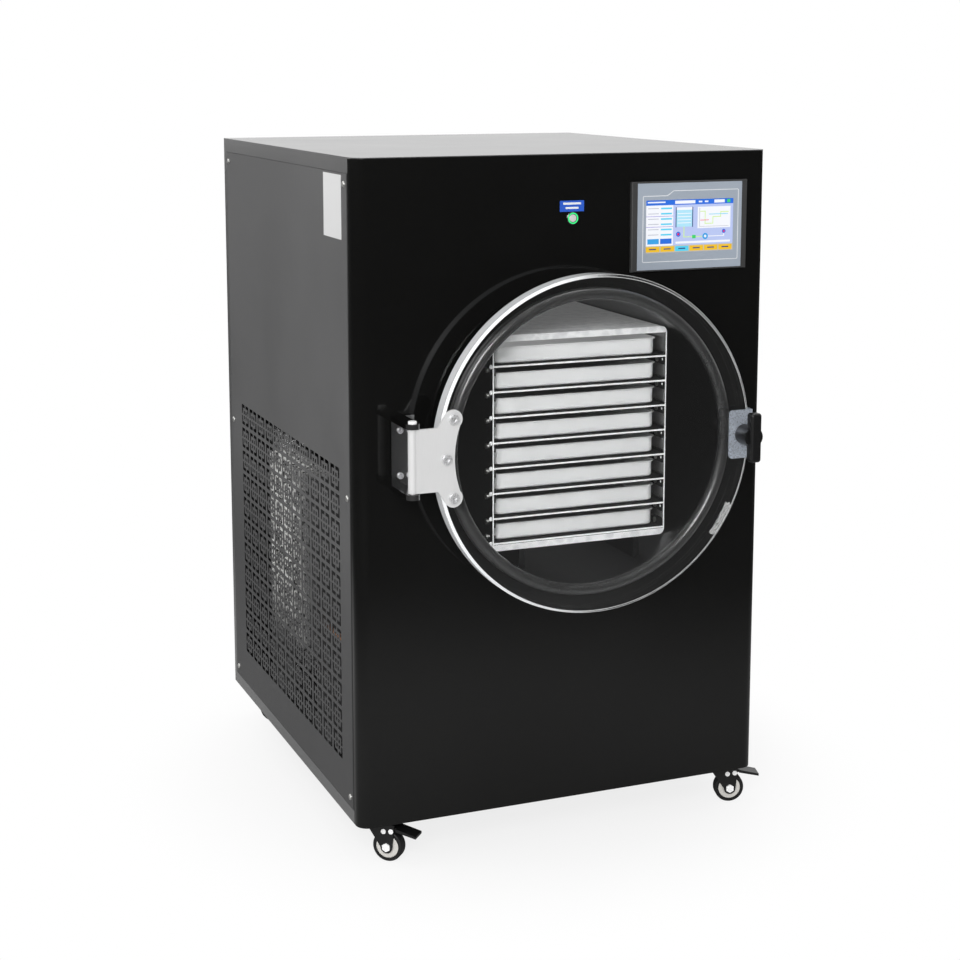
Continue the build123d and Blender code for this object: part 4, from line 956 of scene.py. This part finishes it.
# Each round sign: colour, place across and down, radius as a share of the screen's width, and its layer.
SCREEN_ROUNDS = (
    ("sky blue", 0.68, 0.715, 0.032, 4), ("paper white", 0.68, 0.715, 0.014, 5),
    ("header blue", 0.895, 0.63, 0.022, 4), ("signal red", 0.895, 0.63, 0.010, 5),
    ("header blue", 0.37, 0.66, 0.026, 3), ("signal red", 0.37, 0.66, 0.012, 4),
)
SCREEN_TONES = {
    "header blue": (0.03, 0.16, 0.72), "field lilac": (0.48, 0.56, 0.86), "paper white": (0.88, 0.90, 0.95),
    "button gap": (0.55, 0.50, 0.42), "valve green": (0.06, 0.62, 0.16), "water cyan": (0.10, 0.62, 0.86),
    "faint grey": (0.48, 0.50, 0.58), "violet line": (0.16, 0.10, 0.62), "sky blue": (0.05, 0.36, 0.78),
    "pipe lime": (0.62, 0.86, 0.28), "pale cyan": (0.42, 0.76, 0.92), "signal red": (0.82, 0.02, 0.10),
    "navy mark": (0.03, 0.05, 0.20), "button yellow": (0.85, 0.52, 0.03),
}
LAYER = 0.00006


def lit_finish(name, tone):
    """A lit patch of the display's picture, with a faint grain."""
    made = coat("lit " + name, shade(tone, 0.35), (0.12, 0.18), (0.0, 0.0001), 1200.0, 0.05)
    shader = shader_of(made)
    if not shader.inputs["Emission Color"].is_linked:
        tree = made.node_tree
        mask = next(item for item in tree.nodes if item.type == "GROUP").outputs["Mask"]
        glow = node(tree, "Mix", data_type="RGBA", Factor=mask, A=(*shade(tone, 0.92), 1), B=(*tone, 1))
        feed(tree, shader.inputs["Emission Color"], glow.outputs["Result"])
        shader.inputs["Emission Strength"].default_value = 0.72
    return made


def paint(piece, tone):
    """Gives a part of the picture its tone; all parts list the tones in the same order."""
    for name, value in SCREEN_TONES.items():
        piece.data.materials.append(lit_finish(name, value))
    index = list(SCREEN_TONES).index(tone)
    for face in piece.data.polygons:
        face.material_index = index
    return piece


def screen_place(across, down, layer):
    """A point on the screen's glass from shares across and down it."""
    low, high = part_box("display_screen")
    wide, tall = high.x - low.x, high.z - low.z
    return Vector((low.x + across * wide, low.y - layer * LAYER, high.z - down * tall))


class FREEZEDRYER_OT_display_picture(bpy.types.Operator):
    """Builds the lit process picture on the display"""

    bl_idname = "freeze_dryer.display_picture"
    bl_label = "Display picture"

    def execute(self, context):
        parts = []
        for tone, left, top, right, bottom, layer in SCREEN_AREAS:
            first, last = screen_place(left, top, layer), screen_place(right, bottom, layer)
            part = start_sheet("area", (first + last) / 2, last.x - first.x, first.z - last.z)
            parts.append(paint(part, tone))
        low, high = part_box("display_screen")
        for tone, across, down, radius, layer in SCREEN_ROUNDS:
            place = screen_place(across, down, layer)
            part = start_disc("round", place, radius * (high.x - low.x), corners=20)
            parts.append(paint(part, tone))
        piece = joined("display_picture", parts)
        modify(piece, "SOLIDIFY", thickness=LAYER * 0.8, offset=1.0)
        finish_piece(piece, "cabinet", "screen_glass")
        return {"FINISHED"}


class FREEZEDRYER_OT_display_outline(bpy.types.Operator):
    """Builds the pale printed line with its step on the display's plate"""

    bl_idname = "freeze_dryer.display_outline"
    bl_label = "Display outline"

    def execute(self, context):
        low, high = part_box("display_faceplate")
        given = sizes()
        left, right = low.x + given.outline_left, high.x - given.outline_right
        bottom, top = low.z + given.outline_margin, high.z - given.outline_margin
        centre = ((left + right) / 2, low.y - given.print_sheet, (bottom + top) / 2)
        piece = start_sheet("display_outline", centre, right - left, top - bottom)
        first = left + given.outline_step_start
        second = first + given.outline_step_run
        edit(piece, "VERT", everything=True)
        cut((first, 0, 0), (1, 0, 0))
        cut((second, 0, 0), (1, 0, 0))
        near = 10 * TOUCH
        pick(piece, "VERT", lambda point: point.z > top - near and point.x < first + near)
        bpy.ops.transform.translate(value=(0, 0, -given.outline_step))
        pick(piece, "VERT", lambda point: not first - TOUCH < point.x < second + TOUCH)
        bpy.ops.mesh.bevel(affect="VERTICES", offset=given.outline_corner, segments=3)
        bpy.ops.mesh.select_mode(type="FACE")
        bpy.ops.mesh.select_all(action="SELECT")
        bpy.ops.mesh.inset(thickness=given.outline_width, use_boundary=True)
        bpy.ops.mesh.delete(type="FACE")
        bpy.ops.object.mode_set(mode="OBJECT")
        modify(piece, "SOLIDIFY", thickness=given.print_sheet, offset=-1.0)
        finish_piece(piece, "cabinet", "silver_plastic", print_finish())
        return {"FINISHED"}


def print_finish():
    """White print."""
    return coat("white print", (0.78, 0.80, 0.82), (0.35, 0.45), (0.05, 0.0001), 1500.0, 0.03)


# ---------------------------------------------------------------- switch and labels

# Each bar on the switch's label: height, width, and rise over the switch.
LABEL_BARS = ((0.0032, 0.030, 0.0127), (0.0030, 0.022, 0.0059))


def ring(name, centre, inner, outer, thickness, turn=(math.pi / 2, 0, 0), corners=48, round_off=0.0):
    """A flat ring made from a disc with its middle taken out, thickened and rounded at its rims."""
    piece = start_disc(name, centre, outer, turn, corners)
    edit(piece, "FACE", everything=True)
    bpy.ops.mesh.inset(thickness=outer - inner)
    bpy.ops.mesh.delete(type="FACE")
    bpy.ops.object.mode_set(mode="OBJECT")
    modify(piece, "SOLIDIFY", thickness=thickness, offset=0.0)
    outward(piece)
    if round_off:
        modify(piece, "BEVEL", width=round_off, segments=2, limit_method="ANGLE", angle_limit=SHARP)
    return piece


class FREEZEDRYER_OT_switch_details(bpy.types.Operator):
    """Builds the lit ring round the switch and the bars on its label"""

    bl_idname = "freeze_dryer.switch_details"
    bl_label = "Switch details"

    def execute(self, context):
        low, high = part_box("switch_body")
        given = sizes()
        centre = ((low.x + high.x) / 2, low.y - 0.0001, (low.z + high.z) / 2)
        across = (given.ring_inner, given.ring_outer)
        lit = ring("switch_ring", centre, *across, given.ring_sheet, round_off=0.0002)
        made = lit_finish("switch ring", colours().lit_green)
        shader_of(made).inputs["Emission Strength"].default_value = 0.9
        finish_piece(lit, "cabinet", "button_steel", made)
        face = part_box("front_panel")[0].y
        bars = [
            start_sheet("bar", (centre[0] - 0.001, face - 0.0005, high.z + rise), width, height)
            for height, width, rise in LABEL_BARS
        ]
        piece = joined("switch_label_bars", bars)
        modify(piece, "SOLIDIFY", thickness=given.print_sheet, offset=1.0)
        finish_piece(piece, "cabinet", "label_film", print_finish())
        return {"FINISHED"}


# ---------------------------------------------------------------- door rim

BAND_SHEET = 0.0002
DOOR_CORNERS = 200
CROWN_SHARE = 0.9


def rim_band(name, radius, start, step):
    """A thin band round the door: its rear edge's radius and depth, and its run forwards and outwards."""
    low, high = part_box("door")
    middle = (low + high) / 2
    deselect()
    bpy.ops.mesh.primitive_circle_add(
        vertices=DOOR_CORNERS, radius=radius + BAND_SHEET, fill_type="NOTHING",
        location=(middle.x, start, middle.z), rotation=(math.pi / 2, 0, 0),
    )
    piece = settle(name)
    edit(piece, "EDGE", everything=True)
    bpy.ops.mesh.extrude_region_move(TRANSFORM_OT_translate={"value": (0, step[0], 0)})
    share = (radius + step[1]) / radius
    bpy.ops.transform.resize(value=(share, 1, share), center_override=middle)
    bpy.ops.object.mode_set(mode="OBJECT")
    outward(piece)
    modify(piece, "SOLIDIFY", thickness=BAND_SHEET, offset=1.0)
    return piece


def painted_light_across_door(made, left, right):
    """Paints light across the door: a finish's alpha at the left and at the right, so it shows on the lit
    side and fades out on the other.
    """
    low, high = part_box("door")
    middle = (low + high) / 2
    tree = made.node_tree
    alpha = ramp(tree, object_axes(tree)["X"], middle.x - 0.08, middle.x + 0.04, left, right)
    feed(tree, shader_of(made).inputs["Alpha"], alpha)
    return made


class FREEZEDRYER_OT_door_rim(bpy.types.Operator):
    """Builds the turned edge and the chamfer of the door, frosted and painted lit at the left, and fine edge
    lines that are painted highlights at the right
    """

    bl_idname = "freeze_dryer.door_rim"
    bl_label = "Door rim"

    def execute(self, context):
        low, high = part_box("door")
        middle = (low + high) / 2
        radius = (high.x - low.x) / 2
        given = sizes()
        chamfer, start = given.door_chamfer, high.y - 0.0005
        front = low.y + chamfer
        hoop = rim_band("door_rim", radius, start, (front + given.rim_gap - start, 0.0))
        # The turned edge and the chamfer are frosted white. They show only at the left as painted light,
        # where the light falls on them.
        turned = coat("turned acrylic", (0.68, 0.69, 0.7), (0.3, 0.45), (0.15, 0.0002), 60.0, 0.05)
        finish_piece(hoop, "door", "clear_acrylic", painted_light_across_door(turned, 0.92, 0.0), angle=25)
        bevel = rim_band("door_chamfer", radius - BAND_SHEET, front, (-chamfer, -chamfer))
        milled = coat("milled chamfer", (0.92, 0.93, 0.94), (0.2, 0.3), (0.1, 0.0002), 60.0, 0.04)
        finish_piece(bevel, "door", "clear_acrylic", painted_light_across_door(milled, 0.95, 0.0), angle=25)
        # Painted highlight: the fine lines round the door's edges stand for the highlights along them, shown
        # at the right.
        shiny = coat("painted arris highlight", (0.92, 0.93, 0.94), (0.2, 0.3), (0.1, 0.0002), 90.0, 0.08)
        painted_light_across_door(shiny, 0.0, 0.85)
        for name, edge, depth in (("door_edge_highlight", radius - chamfer, low.y), ("door_arris_highlight", radius, front)):
            centre = (middle.x, depth, middle.z)
            line = ring(
                name, centre, edge - 2 * BAND_SHEET, edge + BAND_SHEET, 2 * BAND_SHEET, corners=DOOR_CORNERS
            )
            finish_piece(line, "door", "clear_acrylic", shiny)
        return {"FINISHED"}


class FREEZEDRYER_OT_gasket_bead(bpy.types.Operator):
    """Builds the door gasket with its rounded crown"""

    bl_idname = "freeze_dryer.gasket_bead"
    bl_label = "Door gasket"

    def execute(self, context):
        low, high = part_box("door_gasket")
        middle = (low + high) / 2
        outer, half = (high.x - low.x) / 2, sizes().gasket_half
        crown = low.y + half * CROWN_SHARE
        origin = (middle.x, crown, middle.z)
        deselect()
        bpy.ops.mesh.primitive_torus_add(
            major_segments=160, minor_segments=24, major_radius=outer - half, minor_radius=half,
            location=origin, rotation=(math.pi / 2, 0, 0),
        )
        piece = settle("gasket_bead")
        edit(piece, "VERT")
        pick(piece, "VERT", lambda point: point.y > crown + TOUCH)
        bpy.ops.transform.resize(value=(1, 0, 1), center_override=origin)
        bpy.ops.transform.translate(value=(0, high.y - crown, 0))
        pick(piece, "VERT", lambda point: point.y < crown + TOUCH)
        bpy.ops.transform.resize(value=(1, CROWN_SHARE, 1), center_override=origin)
        bpy.ops.object.mode_set(mode="OBJECT")
        outward(piece)
        soft = coat(
            "gasket rubber", (0.03, 0.03, 0.03), (0.25, 0.35), (0.08, 0.0002), 500.0, 0.2,
            Coat_Weight=1.0, Coat_Roughness=0.15,
        )
        finish_piece(piece, "cabinet", "black_rubber", soft, angle=60)
        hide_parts("door_gasket")
        return {"FINISHED"}


# ---------------------------------------------------------------- casters

# Each kind of stud: its radius, its corners and the steps that build it up.
RIVET = (0.0041, 20, (
    ("rise", 0.0009), ("rise", 0.0005), ("narrow", 0.8), ("rise", 0.0003), ("narrow", 0.45),
))
AXLE_NUT = (0.0071, 6, (
    ("rise", 0.0024), ("inset", 0.0012), ("rise", 0.0004), ("inset", 0.0016), ("rise", 0.0007),
))
CAP_NUT = (0.0034, 6, (
    ("rise", 0.0022), ("inset", 0.0006), ("rise", 0.0008), ("narrow", 0.85),
    ("rise", 0.0006), ("narrow", 0.5),
))
# Each rivet of a fork: how far back from the brake's pivot, and how far below it.
RIVET_PLACES = ((0.0, 0.0018), (0.0125, 0.003))


def joint_of(name):
    """A joint's place and axis."""
    found = next(joint for joint in frame["joints"] if joint["name"] == name)
    return Vector(found["pos_m"]), Vector(found["axis"]).normalized()


def stud(place, direction, radius, corners, steps):
    """A small round or six-sided part on a face, built up by steps that rise, inset or narrow it."""
    piece = start_disc("stud", place, radius, direction.to_track_quat("Z", "Y").to_euler(), corners)
    edit(piece, "FACE", everything=True)
    for step, amount in steps:
        if step == "rise":
            bpy.ops.mesh.extrude_region_move(TRANSFORM_OT_translate={"value": direction * amount})
        elif step == "inset":
            bpy.ops.mesh.inset(thickness=amount)
        else:
            bpy.ops.transform.resize(value=(amount, amount, amount))
    bpy.ops.object.mode_set(mode="OBJECT")
    outward(piece)
    return piece


class FREEZEDRYER_OT_caster_details(bpy.types.Operator):
    """Builds the pale discs in the wheels and the rivets on the forks"""

    bl_idname = "freeze_dryer.caster_details"
    bl_label = "Caster details"

    def execute(self, context):
        given = sizes()
        pale = coat("pale nylon", (0.74, 0.72, 0.68), (0.35, 0.45), (0.1, 0.0002), 900.0, 0.04)
        # The rivets and nuts glow with the painted glare of the bright finish.
        zinc = bright_finish_with_painted_glare()
        for number in range(1, 5):
            centre, axis = joint_of(f"wheel_spin_{number}")
            turn = axis.to_track_quat("Z", "Y").to_euler()
            discs = [
                ring(
                    "disc", centre + axis * side * given.disc_side, given.disc_inner, given.disc_outer,
                    given.disc_sheet, turn, round_off=0.00015,
                )
                for side in (-1, 1)
            ]
            finish_piece(joined(f"wheel_disc_{number}", discs), f"wheel_{number}", "wheel_rubber", pale)
            pivot, _ = joint_of(f"brake_press_{number}")
            along = Vector((pivot.x - centre.x, pivot.y - centre.y, 0)).normalized()
            heads = []
            for side in (-1, 1):
                outwards = axis * side
                for back, drop in RIVET_PLACES:
                    place = pivot - along * back - Vector((0, 0, drop)) + outwards * given.fork_side
                    heads.append(stud(place, outwards, *RIVET))
                heads.append(stud(centre + outwards * given.fork_side, outwards, *AXLE_NUT))
            finish_piece(joined(f"fork_rivets_{number}", heads), f"caster_{number}", "polished_steel", zinc)
        return {"FINISHED"}


# ---------------------------------------------------------------- rack

# How far the nuts of the left and of the right side lie below a shelf's lip.
NUT_DROPS = (0.002, 0.0075)


class FREEZEDRYER_OT_rack_lips(bpy.types.Operator):
    """Builds the folded lips of the shelves and the nuts of the rack"""

    bl_idname = "freeze_dryer.rack_lips"
    bl_label = "Rack lips"

    def execute(self, context):
        low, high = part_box("rack_sides")
        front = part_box("shelves")[0].y
        given = sizes()
        sheet, half, depth = given.rack_sheet, given.lip_height / 2, given.lip_depth
        left, right = low.x, high.x - sheet
        lips, nuts = [], []
        for number in range(1, 9):
            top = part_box(f"tray_{number}")[0].z
            fold = top - half
            lip = start_box("lip", (left + sheet, front - depth, top - 2 * half), (right, front, top))
            edit(lip, "EDGE", everything=True)
            cut((0, 0, fold), (0, 0, 1))
            pick(lip, "EDGE", lambda point: abs(point.z - fold) < TOUCH and point.y < front - depth / 2)
            bpy.ops.mesh.bevel(affect="EDGES", offset=depth / 2, segments=1)
            pick(lip, "FACE", lambda point: abs(point.z - fold) < 10 * TOUCH and point.y < front - depth / 2)
            bpy.ops.transform.translate(value=(0, given.lip_fold, 0))
            bpy.ops.object.mode_set(mode="OBJECT")
            lips.append(lip)
            for edge, drop in zip((left, right), NUT_DROPS):
                place = Vector((edge, low.y + given.nut_setback, top - drop))
                nuts.append(stud(place, Vector((-1, 0, 0)), *CAP_NUT))
        for edge in (left, right):
            side = start_box("edge", (edge, low.y - given.lip_fold, low.z), (edge + sheet, low.y, high.z))
            edit(side, "EDGE", everything=True)
            bpy.ops.mesh.bevel(affect="EDGES", offset=0.00015, segments=1)
            bpy.ops.object.mode_set(mode="OBJECT")
            lips.append(side)
        # The lips and nuts glow with the painted glare of the bright finish.
        finish_piece(joined("shelf_lips", lips), "cabinet", "aluminium", bright_finish_with_painted_glare())
        finish_piece(joined("rack_nuts", nuts), "cabinet", "stainless", bright_finish_with_painted_glare())
        return {"FINISHED"}


# ---------------------------------------------------------------- stage

CAMERA_PLACE = (-1.2051, -2.9106, 1.2511)
CAMERA_TURN = (81.049, 0, -22.075)
CAMERA_LENS = 68.915
CAMERA_SHIFT = -0.1354
LAMP_TARGET = (0, 0, 0.55)
# Each lamp: name, place, width, height, power, and whether it is seen through the door.
LAMPS = (
    ("key", (-1.6, -2.9, 2.0), 1.4, 1.4, 66, True),
    ("left fill", (-2.6, 0.1, 3.0), 1.0, 2.0, 21, False),
    ("top", (0.2, 0.6, 3.2), 1.8, 1.8, 26, False),
)
ROOM_DIM = 0.1
# Each wall that shines in reflections: the side it stands on, where it starts and ends, and its brightness.
ROOM_WALLS = (("Y", -0.35, 0.35, 1.0), ("X", -0.45, -0.95, 0.85), ("Z", 0.55, 0.95, 0.62))


def floor_finish(centre):
    """Pale floor that keeps the shadow, fades to the background and is dim in reflections."""
    made = bpy.data.materials.new("studio floor")
    made.use_nodes = True
    tree = made.node_tree
    tree.nodes.remove(shader_of(made))
    path = node(tree, "LightPath").outputs
    away = node(tree, "VectorMath", object_place(tree), centre, operation="DISTANCE").outputs["Value"]
    matte = node(tree, "BsdfDiffuse", Color=(*shade(colours().floor, 0.86), 1)).outputs[0]
    glow = node(tree, "Emission", Color=(*colours().floor, 1)).outputs[0]
    dim = node(tree, "BsdfDiffuse", Color=(0.1, 0.1, 0.1, 1)).outputs[0]
    seen = reckon(tree, "MAXIMUM", path["Is Camera Ray"], path["Is Transmission Ray"])
    shown = reckon(tree, "MULTIPLY", seen, ramp(tree, away, 0.34, 0.7, 0.82, 1.0))
    pale = node(tree, "MixShader", shown, matte, glow).outputs[0]
    mirrored = reckon(tree, "MULTIPLY", path["Is Glossy Ray"], ramp(tree, away, 0.9, 2.0, 0.55, 1.0))
    whole = node(tree, "MixShader", mirrored, pale, dim).outputs[0]
    feed(tree, tree.nodes["Material Output"].inputs["Surface"], whole)
    return made


def studio_world():
    """White background, a room with a dim front for reflections, and an even ambient light."""
    world = bpy.data.worlds.new("studio")
    bpy.context.scene.world = world
    world.use_nodes = True
    tree = world.node_tree
    ambient = tree.nodes["Background"]
    ambient.inputs["Color"].default_value = (1, 1, 1, 1)
    ambient.inputs["Strength"].default_value = 0.5
    axes = node(tree, "SeparateXYZ", node(tree, "TexCoord").outputs["Generated"]).outputs
    brightest = combined(tree, "MAXIMUM", [
        ramp(tree, axes[axis], start, end, ROOM_DIM, strength) for axis, start, end, strength in ROOM_WALLS
    ])
    room = node(tree, "Background", Color=brightest).outputs[0]
    white = node(tree, "Background", Color=(*colours().floor, 1)).outputs[0]
    path = node(tree, "LightPath").outputs
    shiny = reckon(tree, "MAXIMUM", path["Is Glossy Ray"], path["Is Transmission Ray"])
    lit = node(tree, "MixShader", shiny, ambient.outputs[0], room).outputs[0]
    whole = node(tree, "MixShader", path["Is Camera Ray"], lit, white).outputs[0]
    feed(tree, tree.nodes["World Output"].inputs["Surface"], whole)


def soft_lamp(name, place, width, height, power, through_door):
    """An area lamp that faces the machine, and is seen through the door or not."""
    deselect()
    bpy.ops.object.light_add(type="AREA", location=place)
    lamp = bpy.context.object
    lamp.name = name
    lamp.data.shape = "RECTANGLE"
    lamp.data.size, lamp.data.size_y = width, height
    lamp.data.energy = power
    lamp.visible_transmission = through_door
    lamp.rotation_euler = (Vector(LAMP_TARGET) - Vector(place)).to_track_quat("-Z", "Y").to_euler()


class FREEZEDRYER_OT_stage(bpy.types.Operator):
    """Builds the camera, the lamps, the background and the floor"""

    bl_idname = "freeze_dryer.stage"
    bl_label = "Stage"

    def execute(self, context):
        scene = context.scene
        deselect()
        rotation = [math.radians(turn) for turn in CAMERA_TURN]
        bpy.ops.object.camera_add(location=CAMERA_PLACE, rotation=rotation)
        camera = bpy.context.object
        camera.name = "camera"
        camera.data.lens = CAMERA_LENS
        camera.data.sensor_width = 36.0
        camera.data.shift_y = CAMERA_SHIFT
        scene.camera = camera
        scene.view_settings.view_transform = "Standard"
        studio_world()
        for lamp in LAMPS:
            soft_lamp(*lamp)
        low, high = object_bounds()
        centre = ((low[0] + high[0]) / 2, (low[1] + high[1]) / 2, low[2])
        deselect()
        bpy.ops.mesh.primitive_plane_add(size=60, location=centre)
        floor = settle("studio_floor")
        floor.data.materials.append(floor_finish(centre))
        floor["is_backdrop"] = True
        return {"FINISHED"}


# ---------------------------------------------------------------- add-on


class FREEZEDRYER_PT_panel(bpy.types.Panel):
    """Lists the steps that build the machine's looks"""

    bl_idname = "FREEZEDRYER_PT_panel"
    bl_label = "Freeze dryer"
    bl_space_type = "VIEW_3D"
    bl_region_type = "UI"
    bl_category = "Freeze dryer"

    def draw(self, context):
        for operator in OPERATORS:
            self.layout.operator(operator.bl_idname)


OPERATORS = (
    FREEZEDRYER_OT_stage,
    FREEZEDRYER_OT_finishes,
    FREEZEDRYER_OT_vented_panels,
    FREEZEDRYER_OT_foil_wrapped_vessel,
    FREEZEDRYER_OT_display_picture,
    FREEZEDRYER_OT_display_outline,
    FREEZEDRYER_OT_switch_details,
    FREEZEDRYER_OT_door_rim,
    FREEZEDRYER_OT_gasket_bead,
    FREEZEDRYER_OT_caster_details,
    FREEZEDRYER_OT_rack_lips,
)
CLASSES = (FreezeDryerSizes, FreezeDryerColours, *OPERATORS, FREEZEDRYER_PT_panel)


def register():
    """Registers the classes and the scene's settings."""
    for item in CLASSES:
        bpy.utils.register_class(item)
    bpy.types.Scene.freeze_dryer_sizes = PointerProperty(type=FreezeDryerSizes)
    bpy.types.Scene.freeze_dryer_colours = PointerProperty(type=FreezeDryerColours)


def unregister():
    """Removes the classes and the scene's settings."""
    del bpy.types.Scene.freeze_dryer_colours
    del bpy.types.Scene.freeze_dryer_sizes
    for item in reversed(CLASSES):
        bpy.utils.unregister_class(item)


def main():
    """Builds everything in order."""
    register()
    bpy.ops.freeze_dryer.stage()
    bpy.ops.freeze_dryer.finishes()
    bpy.ops.freeze_dryer.vented_panels()
    bpy.ops.freeze_dryer.foil_wrapped_vessel()
    bpy.ops.freeze_dryer.display_picture()
    bpy.ops.freeze_dryer.display_outline()
    bpy.ops.freeze_dryer.switch_details()
    bpy.ops.freeze_dryer.door_rim()
    bpy.ops.freeze_dryer.gasket_bead()
    bpy.ops.freeze_dryer.caster_details()
    bpy.ops.freeze_dryer.rack_lips()


if __name__ == "__main__":
    main()
